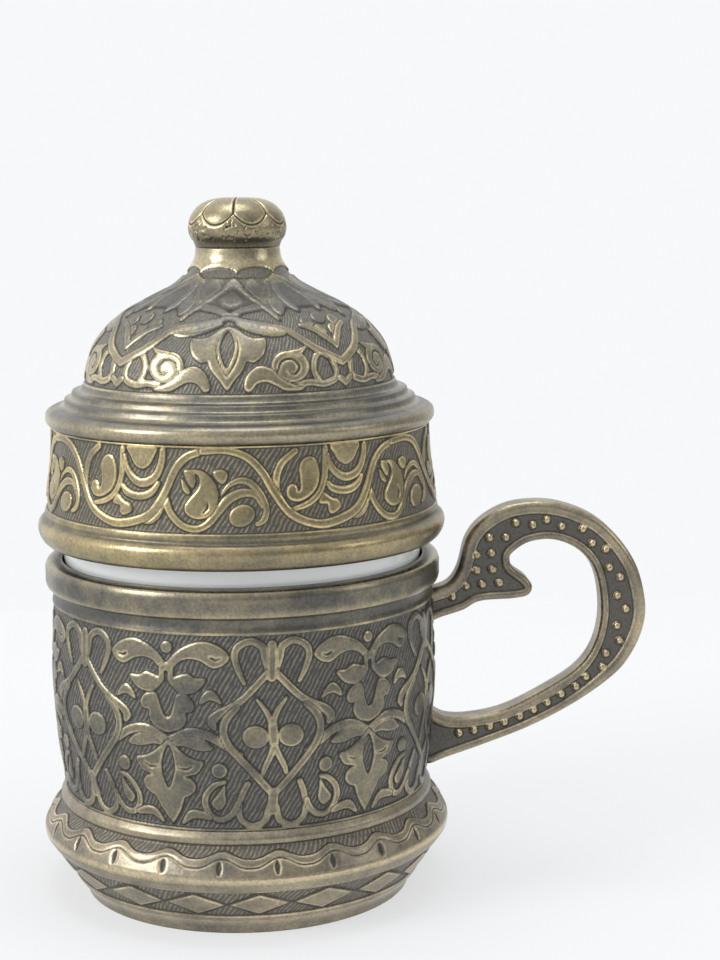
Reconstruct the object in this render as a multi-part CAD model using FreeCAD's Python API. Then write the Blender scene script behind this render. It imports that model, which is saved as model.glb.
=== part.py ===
import FreeCAD
import Part
import math
import os

# A lidded coffee cup holder (zarf) in cast brass with a porcelain cup inside.
# Millimetres, +Z up. The origin is the centre of the foot, on the surface it
# stands on. The handle points along +X.

# Overall sizes of the holder
rim_radius = 31.0        # outside of the rim bead
holder_height = 53.3     # foot to the top of the rim bead
foot_height = 16.8       # foot to the top of its plain ring, where the barrel starts

# Foot: each radius is stated as a step in or out from the rim
foot_lip_height = 2.4
foot_lip_step = -3.7
foot_base_step = -5.2
foot_bulge_height = 10.3
foot_bulge_step = 1.3
foot_ring_height = 2.1
foot_ring_step = -1.6
foot_wall = 2.3
foot_ledge_width = 1.1
foot_seat_step = 0.3      # from the foot's wall at its lip in to the disc's seat
foot_bulge_lead = 0.7     # the bulge starts to turn this far below its widest point
foot_bulge_turn = 0.1
foot_hollow_rise = 1.3    # the foot's widest bore, from above to below its bulge
foot_hollow_drop = 0.3

# Barrel and rim bead
barrel_belly_step = -0.6
barrel_waist_step = -2.1
barrel_neck_step = -0.95
rim_bead_height = 4.5
rim_bead_round = 1.2
rim_width = 2.65
barrel_wall = 1.7
spigot_length = 2.9      # lap of the barrel inside the foot's ring
spigot_wall = 1.1

# Base disc that closes the foot and carries the cup
disc_recess = 2.8
disc_thickness = 1.2
disc_corner = 0.4        # height of the foot's corner above the disc

# Handle, drawn in its own plane, and its rivets
handle_thickness = 4.6
handle_edge_round = 0.9
handle_low_root_rise = 5.6    # lower root's middle above the foot's plain ring
handle_high_root_drop = 8.8   # upper root's middle below the top of the rim
rivet_radius = 1.0
rivet_head_radius = 1.9
rivet_head_depth = 0.9
rivet_grip = 4.5              # length of the shank inside the handle

# Porcelain cup
cup_play = 0.35          # beside the cup in the holder's mouth
cup_low_play = 0.55      # beside the cup at the foot of the barrel
cup_proud = 12.7         # height of the cup's rim above the holder's rim
cup_wall = 2.6
cup_floor = 3.2
cup_foot_step = 7.1      # the foot ring, in from the taper's radius
cup_foot_width = 2.5
cup_foot_height = 1.4
cup_foot_flare = 0.4     # the side starts this far outside the foot ring
cup_heel_step = 2.2      # the heel, in from the taper's radius
cup_belly_step = 0.4     # the middle of the side, in from the cup's radius
cup_taper_drop = 1.02    # the taper ends this far below the barrel's foot
cup_belly_drop = 0.96    # the middle of the side lies this far below the bore's straight stretch
cup_straight_rise = 0.3  # the side runs straight from this far above the holder's rim
cup_inner_taper_rise = 3.1   # the bore's taper ends this far above the outer one
cup_floor_turn = 6.0     # the bore's turn into the floor takes up this much of its radius
cup_floor_rise = 0.6     # the floor is dished by this much

# Lid
lid_gap = 2.8            # open height between the holder's rim and the lid
skirt_height = 18.1
skirt_bead_height = 3.75
skirt_bead_step = 0.9
skirt_low_step = -0.2
skirt_high_step = -1.5
skirt_wall = 1.5
skirt_mouth_wall = 1.9
skirt_bead_foot = 0.4    # the bead's foot, out from the plain line above it
skirt_chamfer = 0.5
skirt_line_foot = 0.25   # plain line above the bead, from its foot up
skirt_line_height = 1.3
ledge_thickness = 1.4
ledge_overlap = 0.6      # how far the ledge reaches inside the cup's rim
lid_spigot_length = 1.8   # lap of the dome inside the skirt
shoulder_bead_height = 2.6
shoulder_bead_step = -0.7
shoulder_height = 3.9    # stepped flange between the bead and the dome
dome_height = 20.5
dome_step = -6.7
lid_wall = 1.5
hollow_drop = 0.5        # the dome's hollow starts this far below the dome's foot
flange_hollow_drop = 0.6
neck_radius = 6.5
neck_roof = 1.8

# Knob, its screw and washer
knob_height = 7.6
knob_radius = 7.6
screw_radius = 1.5
screw_head_radius = 2.8
screw_head_height = 1.8
screw_grip = 4.6
screw_crown_round = 0.72
screw_slot_width = 0.75
screw_slot_depth = 0.81
washer_radius = 3.6
washer_thickness = 0.5

# Clearances
slip = 0.05              # between pieces that are joined or pressed together
past = 1.0               # how far a cutting shape runs past what it cuts

# Heights that follow from the sizes above
floor_height = disc_recess + disc_thickness
cup_rim_height = holder_height + cup_proud
skirt_base = holder_height + lid_gap
shoulder_base = skirt_base + skirt_height
dome_base = shoulder_base + shoulder_bead_height + shoulder_height
dome_top = dome_base + dome_height
overall_height = dome_top + knob_height

# Radii that follow
mouth_radius = rim_radius - rim_width
cup_radius = mouth_radius - cup_play
cup_bore = cup_radius - cup_wall
barrel_radius = rim_radius + barrel_belly_step
waist_radius = rim_radius + barrel_waist_step
spigot_bore = waist_radius - barrel_wall - slip
spigot_radius = spigot_bore + spigot_wall
cup_taper_radius = spigot_bore - cup_low_play
cup_foot_radius = cup_taper_radius - cup_foot_step
dome_radius = rim_radius + dome_step

# Outlines, from the lowest point up. Barrel: share of its height, step from the rim's radius.
barrel_outline = [
    (0.0, barrel_waist_step), (0.10, barrel_waist_step + 0.25), (0.25, barrel_belly_step - 0.55),
    (0.56, barrel_belly_step), (0.80, barrel_neck_step + 0.1), (1.0, barrel_neck_step),
]
barrel_belly_point = 3
rim_bead_fullness = 0.6

# Foot, lip: step out from the base, share of the lip's height. Swelling: share of the way
# in from the bulge to the ring, share of the way up between them.
foot_lip_middle = (0.5, 0.5)
foot_swell_outline = [(0.052, 0.23), (0.45, 0.66), (1.0, 1.0)]
foot_ring_middle = (0.1, 0.4)

# Cup: the heel as a share of its height above the disc. Lip: steps in from the side and
# down from the rim.
cup_heel_share = 0.07
cup_lip_outline = [(0.0, 1.0), (0.25, 0.3), (0.8, 0.0)]
quarter_turn_steps = 6

# Lid's two beads and its band: step out from the piece's own radius, share of the height.
skirt_bead_outline = [(-0.25, 0.347), (0.0, 0.62), (-0.2, 0.867), (-0.7, 1.0)]
skirt_low_swell = (-0.45, 0.35)
skirt_high_swell = (0.25, 0.65)
shoulder_bead_outline = [(-0.6, 0.0), (-0.1, 0.25), (0.0, 0.54), (-0.25, 0.82), (-1.0, 1.0)]

# Stepped flange: step out from the dome's foot, share of the flange's height.
flange_outline = [(3.2, 0.18), (2.0, 0.45), (0.5, 0.72)]

# Outside of the dome from the flange to the neck, in shares of the way in from the
# dome's foot to the neck and of the height up.
dome_outline = [
    (0.0, 0.0), (0.02, 0.10), (0.05, 0.19), (0.09, 0.28), (0.165, 0.37), (0.265, 0.46),
    (0.41, 0.55), (0.605, 0.64), (0.805, 0.73), (0.915, 0.82), (0.98, 0.91), (1.0, 1.0),
]

# Knob above its foot: step in from its radius, share of its height.
knob_foot_flare = (0.3, 0.11)
knob_outline = [
    (0.25, 0.22), (0.0, 0.36), (0.1, 0.50), (0.45, 0.64), (1.15, 0.77), (2.3, 0.89), (4.3, 0.975),
]

# The handle is drawn beside a barrel of this radius, with its roots' middles at these
# heights. The stretch of its arm between the two end heights takes up any change.
drawn_barrel = 30.4
drawn_low_root = 22.4
drawn_high_root = 44.5
drawn_low_end = 26.0
drawn_high_end = 40.5
handle_back = [
    (28.5, 46.6), (30.3, 47.0), (32.6, 48.0), (34.1, 50.4), (35.3, 54.8), (37.6, 57.8),
    (41.7, 60.1), (46.7, 60.8), (51.4, 60.0), (56.2, 57.8), (60.0, 54.2), (62.8, 49.6),
    (64.2, 44.0), (63.9, 40.0), (62.1, 35.8), (59.2, 32.2), (53.2, 27.9), (45.9, 24.1),
    (38.5, 21.3), (32.0, 19.1), (30.0, 18.3), (28.0, 17.9),
]
handle_inside = [
    (28.0, 29.5), (30.2, 27.0), (32.3, 26.0), (36.0, 25.9), (41.7, 27.1), (48.9, 30.7),
    (53.5, 33.9), (56.0, 37.8), (56.9, 43.0), (56.0, 49.0), (53.4, 52.6), (49.4, 54.4),
    (45.4, 54.1), (42.7, 52.4), (42.3, 51.2), (42.9, 50.0), (44.9, 48.5), (45.9, 46.9),
    (45.2, 45.5), (42.7, 45.0), (37.6, 44.8), (34.4, 44.0), (31.3, 42.4), (28.5, 40.9),
]
root_end_length = 19.2    # the plate's two root ends are shorter than this


def at_radius(radius, height):
    return FreeCAD.Vector(radius, 0, height)


def smooth(points):
    """One smooth edge through points of a profile."""
    curve = Part.BSplineCurve()
    curve.interpolate(points)
    return curve.toShape()


def joined(stretches):
    """Edges along stretches of a profile: two points make a straight edge, more a smooth one."""
    edges = []
    for stretch in stretches:
        if len(stretch) == 2:
            edges.append(Part.makeLine(*stretch))
        else:
            edges.append(smooth(stretch))
    return edges


def turned(stretches):
    """Solid turned about Z from a closed profile of (radius, height) stretches."""
    placed = [[at_radius(*point) for point in stretch] for stretch in stretches]
    face = Part.Face(Part.Wire(joined(placed)))
    solid = face.revolve(FreeCAD.Vector(0, 0, 0), FreeCAD.Vector(0, 0, 1), 360)
    return solid


def corners(points):
    """Straight stretches through the corners, in order."""
    return [[start, end] for start, end in zip(points, points[1:])]


def inset(points, depth):
    """Points moved by depth to the left of the way the profile runs."""
    moved = []
    for index, point in enumerate(points):
        before = points[max(index - 1, 0)]
        after = points[min(index + 1, len(points) - 1)]
        run = (after[0] - before[0], after[1] - before[1])
        length = math.hypot(*run)
        moved.append((point[0] - run[1] / length * depth, point[1] + run[0] / length * depth))
    return moved


def drill(radius, start, end):
    """Round rod between two points on one line."""
    way = end - start
    return Part.makeCylinder(radius, way.Length, start, way)


def barrel_outside():
    bottom = foot_height
    rise = holder_height - rim_bead_height - bottom
    return [(rim_radius + step, bottom + share * rise) for share, step in barrel_outline]


def mouth_foot_height():
    """Height from which the bore runs straight up to the rim."""
    return barrel_outside()[barrel_belly_point][1]


def rim_bead_outside():
    """Two rounded corners with a short plain band between them."""
    bottom = holder_height - rim_bead_height
    turn = rim_bead_round
    soft = turn * (1 - math.sqrt(0.5))
    neck = rim_radius + barrel_neck_step
    full = rim_radius - soft * rim_bead_fullness
    lower = [(neck, bottom), (full, bottom + soft), (rim_radius, bottom + turn)]
    upper = [
        (rim_radius, holder_height - turn),
        (rim_radius - soft, holder_height - soft),
        (rim_radius - turn, holder_height),
    ]
    return lower, upper


def barrel():
    outside = barrel_outside()
    lower, upper = rim_bead_outside()
    mouth_foot = mouth_foot_height()
    spigot_foot = foot_height - spigot_length
    barrel_top = outside[-1][1]
    assert barrel_top > mouth_foot
    stretches = [
        [(spigot_bore, spigot_foot), (spigot_radius, spigot_foot)],
        [(spigot_radius, spigot_foot), (spigot_radius, foot_height)],
        [(spigot_radius, foot_height), outside[0]],
        outside,
        lower,
        [lower[-1], upper[0]],
        upper,
        [upper[-1], (mouth_radius, holder_height)],
        [(mouth_radius, holder_height), (mouth_radius, mouth_foot)],
        [(mouth_radius, mouth_foot), (spigot_bore, foot_height)],
        [(spigot_bore, foot_height), (spigot_bore, spigot_foot)],
    ]
    return turned(stretches)


def foot_outside():
    """Plain lip, cone with the lozenge band, ridge, swelling and plain ring."""
    base = rim_radius + foot_base_step
    lip = rim_radius + foot_lip_step
    bulge = rim_radius + foot_bulge_step
    ring = rim_radius + foot_ring_step
    ring_foot = foot_height - foot_ring_height
    fall = ring_foot - foot_bulge_height
    swell = [(bulge - foot_bulge_turn, foot_bulge_height - foot_bulge_lead), (bulge, foot_bulge_height)]
    for inward, up in foot_swell_outline:
        swell.append((bulge - inward * (bulge - ring), foot_bulge_height + up * fall))
    plain = [
        (ring, ring_foot),
        (ring + foot_ring_middle[0], ring_foot + foot_ring_middle[1] * foot_ring_height),
        (waist_radius, foot_height),
    ]
    lip_middle = (base + foot_lip_middle[0], foot_lip_middle[1] * foot_lip_height)
    return [
        [(base, 0), lip_middle, (lip, foot_lip_height)],
        [(lip, foot_lip_height), swell[0]],
        swell,
        plain,
    ]


def holder_foot():
    """Hollow foot: a ledge inside carries the base disc, a pocket on top takes the barrel."""
    outside = foot_outside()
    seat = disc_seat_radius()
    bore = seat - foot_ledge_width
    pocket = spigot_radius + slip
    pocket_foot = foot_height - spigot_length - slip
    bulge_bore = rim_radius + foot_bulge_step - foot_wall
    stretches = [[(bore, 0), outside[0][0]]] + outside
    inside = [
        (waist_radius, foot_height),
        (pocket, foot_height),
        (pocket, pocket_foot),
        (bulge_bore, foot_bulge_height + foot_hollow_rise),
        (bulge_bore, foot_bulge_height - foot_hollow_drop),
        (seat, floor_height + disc_corner),
        (seat, disc_recess),
        (bore, disc_recess),
        (bore, 0),
    ]
    return turned(stretches + corners(inside))


def disc_seat_radius():
    return rim_radius + foot_lip_step - foot_wall - foot_seat_step


def base_disc():
    radius = disc_seat_radius() - slip
    return Part.makeCylinder(radius, disc_thickness, FreeCAD.Vector(0, 0, disc_recess))


def low_root_height():
    return foot_height + handle_low_root_rise


def high_root_height():
    return holder_height - handle_high_root_drop


def on_handle(point):
    """Point of the handle's drawing, placed beside this barrel: roots and beak keep their shape."""
    drop = low_root_height() - drawn_low_root
    lift = high_root_height() - drawn_high_root
    share = (point[1] - drawn_low_end) / (drawn_high_end - drawn_low_end)
    share = min(max(share, 0.0), 1.0)
    across = point[0] - drawn_barrel + barrel_radius
    return FreeCAD.Vector(across, 0, point[1] + drop + (lift - drop) * share)


def handle():
    """Flat beaked loop with rounded edges, cut to the barrel and bored for the rivets."""
    back = [on_handle(point) for point in handle_back]
    inside = [on_handle(point) for point in handle_inside]
    edges = joined([back, [back[-1], inside[0]], inside, [inside[-1], back[0]]])
    face = Part.Face(Part.Wire(edges))
    face.translate(FreeCAD.Vector(0, -handle_thickness / 2, 0))
    plate = face.extrude(FreeCAD.Vector(0, handle_thickness, 0))
    rounded = plate.makeFillet(handle_edge_round, outline_edges(plate))
    rooted = rounded.cut(barrel_core())
    for height in (low_root_height(), high_root_height()):
        rooted = rooted.cut(rivet_shape(height, slip))
    return rooted


def outline_edges(plate):
    """Long curved edges round both faces of the plate, without the root ends."""
    chosen = []
    for edge in plate.Edges:
        flat = edge.BoundBox.YLength < handle_edge_round
        if flat and edge.Length > root_end_length:
            chosen.append(edge)
    return chosen


def barrel_core():
    """Everything inside the barrel's outer surface, as one turned plug."""
    outside = barrel_outside()
    low = outside[0]
    high = outside[-1]
    stretches = [
        [(0, low[1]), low],
        outside,
        [high, (0, high[1])],
        [(0, high[1]), (0, low[1])],
    ]
    return turned(stretches)


def rivet_shape(height, grown):
    """Countersunk rivet along X; grown makes the hole that it sits in."""
    bore_face = spigot_bore - past
    head_end = bore_at(height) + rivet_head_depth
    axis = FreeCAD.Vector(1, 0, 0)
    shank_end = barrel_radius + rivet_grip + grown
    start = FreeCAD.Vector(bore_face, 0, height)
    shank = Part.makeCylinder(rivet_radius + grown, shank_end - bore_face, start, axis)
    slope = (rivet_head_radius - rivet_radius) / rivet_head_depth
    lead = bore_at(height) - bore_face
    wide = rivet_head_radius + slope * lead + grown
    head = Part.makeCone(wide, rivet_radius + grown, head_end - bore_face, start, axis)
    return shank.fuse(head)


def bore_at(height):
    """Radius of the barrel's bore at a height."""
    share = (height - foot_height) / (mouth_foot_height() - foot_height)
    return spigot_bore + (mouth_radius - spigot_bore) * min(share, 1.0)


def barrel_bore():
    """The hollow of the barrel, as a turned plug."""
    outline = [
        (0, foot_height),
        (spigot_bore, foot_height),
        (mouth_radius, mouth_foot_height()),
        (mouth_radius, holder_height),
        (0, holder_height),
        (0, foot_height),
    ]
    return turned(corners(outline))


def holder_wall():
    """Barrel drilled for the handle's rivets."""
    wall = barrel()
    for height in (low_root_height(), high_root_height()):
        wall = wall.cut(rivet_shape(height, slip))
    return wall


def handle_rivets():
    """Both rivets, their heads dressed flush with the barrel's bore."""
    hollow = barrel_bore()
    heights = (low_root_height(), high_root_height())
    return Part.makeCompound([rivet_shape(height, 0).cut(hollow) for height in heights])


def quarter_turn(start, end):
    """Points of a quarter ellipse that leaves start upright and meets end level."""
    points = []
    for step in range(quarter_turn_steps + 1):
        angle = math.pi / 2 * step / quarter_turn_steps
        across = end[0] + (start[0] - end[0]) * math.cos(angle)
        points.append((across, start[1] + (end[1] - start[1]) * math.sin(angle)))
    return points


def porcelain_cup():
    """Straight cup on a low foot ring, drawn in with the barrel's bore, with a rounded lip."""
    base = floor_height
    rim = cup_rim_height
    foot_in = cup_foot_radius - cup_foot_width
    foot_top = base + cup_foot_height
    floor_top = foot_top + cup_floor
    taper = cup_taper_radius
    taper_bore = taper - cup_wall - cup_belly_step / 2
    taper_height = foot_height - cup_taper_drop
    belly = mouth_foot_height() - cup_belly_drop
    straight = holder_height + cup_straight_rise
    side = [
        (cup_foot_radius + cup_foot_flare, foot_top),
        (taper - cup_heel_step, base + cup_heel_share * (rim - base)),
        (taper, taper_height),
        (cup_radius - cup_belly_step, belly),
        (cup_radius, straight),
    ]
    lip_out = [(cup_radius - inward, rim - down) for inward, down in cup_lip_outline]
    lip_in = [(cup_bore + inward, rim - down) for inward, down in reversed(cup_lip_outline)]
    floor_edge = (taper_bore - cup_floor_turn, floor_top + cup_floor_rise)
    inside = [(cup_bore, straight), (cup_bore - cup_belly_step, belly)]
    inside += quarter_turn((taper_bore, taper_height + cup_inner_taper_rise), floor_edge)
    stretches = [
        [(0, foot_top), (foot_in, foot_top)],
        [(foot_in, foot_top), (foot_in, base)],
        [(foot_in, base), (cup_foot_radius, base)],
        [(cup_foot_radius, base), side[0]],
        side,
        [side[-1], lip_out[0]],
        lip_out,
        [lip_out[-1], lip_in[0]],
        lip_in,
        [lip_in[-1], inside[0]],
        inside,
        [floor_edge, (0, floor_top)],
        [(0, floor_top), (0, foot_top)],
    ]
    return turned(stretches)


def lid_skirt():
    """Band with the lower bead and, inside, the ledge that rests on the cup's rim."""
    low = skirt_base
    high = shoulder_base
    bead_top = low + skirt_bead_height
    bead = rim_radius + skirt_bead_step
    line_radius = rim_radius + skirt_low_step
    bead_foot = line_radius + skirt_bead_foot
    top_radius = rim_radius + skirt_high_step
    bore_low = line_radius - skirt_mouth_wall
    bore_high = top_radius - skirt_wall
    ledge_bore = cup_bore - ledge_overlap
    ledge_top = cup_rim_height + ledge_thickness
    bead_curve = [(bead_foot, low + skirt_chamfer)]
    bead_curve += [(bead + step, low + share * skirt_bead_height) for step, share in skirt_bead_outline]
    rise = high - bead_top
    side = [
        (line_radius, bead_top + skirt_line_height),
        (line_radius + skirt_low_swell[0], bead_top + skirt_low_swell[1] * rise),
        (top_radius + skirt_high_swell[0], bead_top + skirt_high_swell[1] * rise),
        (top_radius, high),
    ]
    line_foot = (line_radius, bead_top + skirt_line_foot)
    stretches = corners([(bore_low, low), (bead_foot - skirt_chamfer, low), bead_curve[0]])
    stretches += [bead_curve] + corners([bead_curve[-1], line_foot, side[0]]) + [side]
    inside = [
        (top_radius, high),
        (bore_high, high),
        (bore_high, ledge_top),
        (ledge_bore, ledge_top),
        (ledge_bore, cup_rim_height),
        (bore_low, cup_rim_height),
        (bore_low, low),
    ]
    return turned(stretches + corners(inside))


def dome_outside():
    reach = dome_radius - neck_radius
    return [(dome_radius - inward * reach, dome_base + up * dome_height) for inward, up in dome_outline]


def lid_dome():
    """Upper bead, stepped flange, hollow dome and neck, lapped into the skirt."""
    low = shoulder_base
    bead_top = low + shoulder_bead_height
    bead = rim_radius + shoulder_bead_step
    lap = rim_radius + skirt_high_step - skirt_wall - slip
    lap_bore = lap - lid_wall
    lap_foot = low - lid_spigot_length
    outside = dome_outside()
    bead_rise = shoulder_bead_height
    bead_curve = [(bead + step, low + share * bead_rise) for step, share in shoulder_bead_outline]
    flange = [(dome_radius + step, bead_top + share * shoulder_height) for step, share in flange_outline]
    roof = dome_top - neck_roof
    neck_bore = neck_radius - lid_wall
    under = inset(outside[:-1], lid_wall)
    hollow = [(under[0][0], dome_base - hollow_drop)]
    hollow += [point for point in under[1:] if point[1] < roof - hollow_drop]
    stretches = corners([(lap, lap_foot), (lap, low), bead_curve[0]]) + [bead_curve]
    stretches += corners([bead_curve[-1]] + flange + [outside[0]]) + [outside]
    stretches += corners([outside[-1], (0, dome_top), (0, roof), (neck_bore, roof), hollow[-1]])
    stretches += [hollow[::-1]]
    rim = [hollow[0], (lap_bore, bead_top - flange_hollow_drop), (lap_bore, lap_foot), (lap, lap_foot)]
    stretches += corners(rim)
    hole = drill(screw_radius + slip, at_radius(0, roof - past), at_radius(0, dome_top + past))
    return turned(stretches).cut(hole)


def knob():
    """Flattened ball on the neck, bored from below for its screw."""
    low = dome_top
    flare, flare_share = knob_foot_flare
    side = [(neck_radius, low), (neck_radius + flare, low + flare_share * knob_height)]
    side += [(knob_radius - inward, low + share * knob_height) for inward, share in knob_outline]
    side += [(0, low + knob_height)]
    body = turned([side] + corners([side[-1], (0, low), side[0]]))
    hole = drill(screw_radius + slip, at_radius(0, low - past), at_radius(0, low + screw_grip + slip))
    return body.cut(hole)


def knob_washer():
    top = dome_top - neck_roof
    foot = at_radius(0, top - washer_thickness)
    ring = Part.makeCylinder(washer_radius, washer_thickness, foot)
    return ring.cut(drill(screw_radius + slip, foot - at_radius(0, past), at_radius(0, top + past)))


def knob_screw():
    """Slotted round head below the washer, shank up into the knob."""
    seat = dome_top - neck_roof - washer_thickness
    head_foot = at_radius(0, seat - screw_head_height)
    head = Part.makeCylinder(screw_head_radius, screw_head_height, head_foot)
    crown = [edge for edge in head.Edges if abs(edge.BoundBox.ZMax - head_foot.z) < slip]
    head = head.makeFillet(screw_crown_round, crown)
    corner = FreeCAD.Vector(-screw_head_radius - past, -screw_slot_width / 2, head_foot.z)
    slot = Part.makeBox(2 * (screw_head_radius + past), screw_slot_width, screw_slot_depth, corner)
    shank = drill(screw_radius, at_radius(0, seat - slip), at_radius(0, dome_top + screw_grip))
    return head.cut(slot).fuse(shank)


nodes = {
    "holder_wall": holder_wall,
    "holder_foot": holder_foot,
    "base_disc": base_disc,
    "handle": handle,
    "handle_rivets": handle_rivets,
    "porcelain_cup": porcelain_cup,
    "lid_skirt": lid_skirt,
    "lid_dome": lid_dome,
    "knob": knob,
    "knob_screw": knob_screw,
    "knob_washer": knob_washer,
}

os.makedirs("parts", exist_ok=True)
for name, make in nodes.items():
    shape = make()
    shape.exportStep("parts/" + name + ".step")
    box = shape.BoundBox
    print(name, "solids", len(shape.Solids), "valid", shape.isValid(), "volume", round(shape.Volume, 1),
          "x", round(box.XMin, 2), round(box.XMax, 2), "z", round(box.ZMin, 2), round(box.ZMax, 2))
print("overall height", round(overall_height, 2))
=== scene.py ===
import bpy
import math
import numpy as np
from mathutils import Matrix, Vector


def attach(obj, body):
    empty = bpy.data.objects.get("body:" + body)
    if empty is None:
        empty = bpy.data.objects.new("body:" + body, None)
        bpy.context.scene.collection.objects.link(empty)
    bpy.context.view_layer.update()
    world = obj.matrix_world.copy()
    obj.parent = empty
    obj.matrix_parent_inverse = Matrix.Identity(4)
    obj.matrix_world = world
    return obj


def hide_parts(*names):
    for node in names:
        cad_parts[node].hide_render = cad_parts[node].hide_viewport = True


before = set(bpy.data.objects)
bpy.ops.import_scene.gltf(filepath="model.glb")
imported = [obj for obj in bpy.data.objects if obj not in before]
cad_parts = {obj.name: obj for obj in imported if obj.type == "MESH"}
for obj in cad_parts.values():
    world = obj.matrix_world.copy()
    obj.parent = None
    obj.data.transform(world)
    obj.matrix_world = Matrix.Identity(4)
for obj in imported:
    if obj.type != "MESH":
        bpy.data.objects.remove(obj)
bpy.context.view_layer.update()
print("loaded", len(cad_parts), "pieces")

mm = 0.001
plain = 1.5  # relief value of a surface that carries no ornament
ringRadius = 30.0  # patterns round the piece are drawn in mm on a circle of this radius
farOff = 99.0  # mm, more than any distance that is looked for
shapeReach = 1.9  # mm round a shape within which its groove and flank can lie
flank, shoulder, shoulderDrop = (-0.2, 0.08), (0.0, 0.4), 0.04  # section of turned relief, in mm


# Curves and fields for the ornament. A field holds, for each point of a flat cell in mm,
# how far the point lies inside raised metal; it is negative in the sunk ground.

def curveThrough(points, steps=6, closed=False):
    # cubic between neighbours b and c with the slopes (c - a) / 2 and (d - b) / 2
    given = np.array(points, float)
    if closed:
        padded = np.concatenate([given[-1:], given, given[:2]])
    else:
        padded = np.concatenate([2 * given[:1] - given[1:2], given, 2 * given[-1:] - given[-2:-1]])
    a, b, c, d = (padded[shift:len(padded) - 3 + shift, None, :] for shift in range(4))
    t = (np.arange(steps) / steps)[None, :, None]
    bend, twist = 2 * a - 5 * b + 4 * c - d, 3 * b - a - 3 * c + d
    curve = 0.5 * (2 * b + (c - a) * t + bend * t ** 2 + twist * t ** 3)
    curve = curve.reshape(-1, given.shape[1])
    return curve if closed else np.concatenate([curve, given[-1:]])


def nearestOn(line, px, py):
    # distance to the nearest segment, and the share of the way along the line where it is met
    best = np.full(px.shape, farOff)
    place = np.zeros(px.shape)
    for index in range(len(line) - 1):
        ax, ay = line[index][:2]
        bx, by = line[index + 1][:2]
        runX, runY = bx - ax, by - ay
        share = np.clip(((px - ax) * runX + (py - ay) * runY) / (runX ** 2 + runY ** 2 + 1e-12), 0, 1)
        gap = np.hypot(px - ax - share * runX, py - ay - share * runY)
        closer = gap < best
        best = np.where(closer, gap, best)
        place = np.where(closer, index + share, place)
    return best, place / (len(line) - 1)


def newCell(left, right, height, shifts=(0,), step=0.09):
    # points step mm apart; whatever is laid in the cell is repeated at each of its shifts
    columns = np.arange(left, right + step, step)
    rows = np.arange(0.0, height + step, step)
    ground = np.full((len(rows), len(columns)), -plain)
    return {"x": columns, "y": rows, "step": step, "shifts": shifts, "depth": ground}


def windowOf(cell, line, reach):
    # rows and columns of the cell within reach of a line
    line = np.asarray(line)
    cols = np.searchsorted(cell["x"], [line[:, 0].min() - reach, line[:, 0].max() + reach])
    rows = np.searchsorted(cell["y"], [line[:, 1].min() - reach, line[:, 1].max() + reach])
    part = (slice(rows[0], rows[1]), slice(cols[0], cols[1]))
    px, py = np.meshgrid(cell["x"][part[1]], cell["y"][part[0]])
    return part, px, py


def strokeDepth(line, px, py):
    # half the stroke's width at the nearest place, less the distance to its middle line
    gap, place = nearestOn(line, px, py)
    half = np.interp(place * (len(line) - 1), np.arange(len(line)), line[:, 2]) / 2
    return half - gap


def outlineDepth(line, px, py):
    # distance to the outline, positive inside it by counting crossings to the left
    loop = np.concatenate([line, line[:1]])
    gap, _ = nearestOn(loop, px, py)
    inside = np.zeros(px.shape, bool)
    for (ax, ay), (bx, by) in zip(loop[:-1, :2], loop[1:, :2]):
        if ay != by:
            inside ^= ((ay > py) != (by > py)) & (px < (bx - ax) * (py - ay) / (by - ay) + ax)
    return np.where(inside, gap, -gap)


def lay(cell, points, closed, raised=True, groove=0.2):
    # a raised shape first sinks a groove round itself, then stands in it; a cut one only sinks
    for shift in cell["shifts"]:
        moved = [(point[0] + shift,) + point[1:] for point in points]
        line = curveThrough(moved, 5, closed) if len(moved) > 2 else np.array(moved, float)
        part, px, py = windowOf(cell, line, shapeReach)
        if not px.size:
            continue
        found = outlineDepth(line, px, py) if closed else strokeDepth(line, px, py)
        depth = cell["depth"][part]
        if raised:
            depth = np.maximum(np.minimum(depth, -(found + groove)), found)
        else:
            depth = np.minimum(depth, -found)
        cell["depth"][part] = np.clip(depth, -plain, plain)


def stroke(cell, points, **how):
    # a line through points (x, y, width)
    lay(cell, points, False, **how)


def leaf(cell, points, **how):
    # a closed outline through points (x, y)
    lay(cell, points, True, **how)


def disc(cell, centre, across, up=None, lean=0.0):
    # ellipse: fourteen points at even angles, turned by lean
    angle = np.linspace(0, 2 * math.pi, 14, endpoint=False)
    a, b = across * np.cos(angle), (up or across) * np.sin(angle)
    x = centre[0] + a * math.cos(lean) - b * math.sin(lean)
    y = centre[1] + a * math.sin(lean) + b * math.cos(lean)
    leaf(cell, list(zip(x, y)))


def readCell(cell, px, py):
    # value between the four nearest points of the cell
    column = np.clip((px - cell["x"][0]) / cell["step"], 0, len(cell["x"]) - 1.001)
    row = np.clip(py / cell["step"], 0, len(cell["y"]) - 1.001)
    c0, r0 = column.astype(int), row.astype(int)
    fc, fr = column - c0, row - r0
    depth = cell["depth"]
    low = depth[r0, c0] * (1 - fc) + depth[r0, c0 + 1] * fc
    high = depth[r0 + 1, c0] * (1 - fc) + depth[r0 + 1, c0 + 1] * fc
    return low * (1 - fr) + high * fr


def smoothStep(low, high, value):
    share = np.clip((value - low) / (high - low), 0, 1)
    return share * share * (3 - 2 * share)


# Surfaces. Each ring piece is its profile, as runs of (radius, height, wear), turned about the
# axis; wear is how far handling has polished the metal there, 0 for none and 1.5 at the most. Its
# peaks on the barrel's rim bead and on the foot's ridge are partly a painted highlight.

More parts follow.
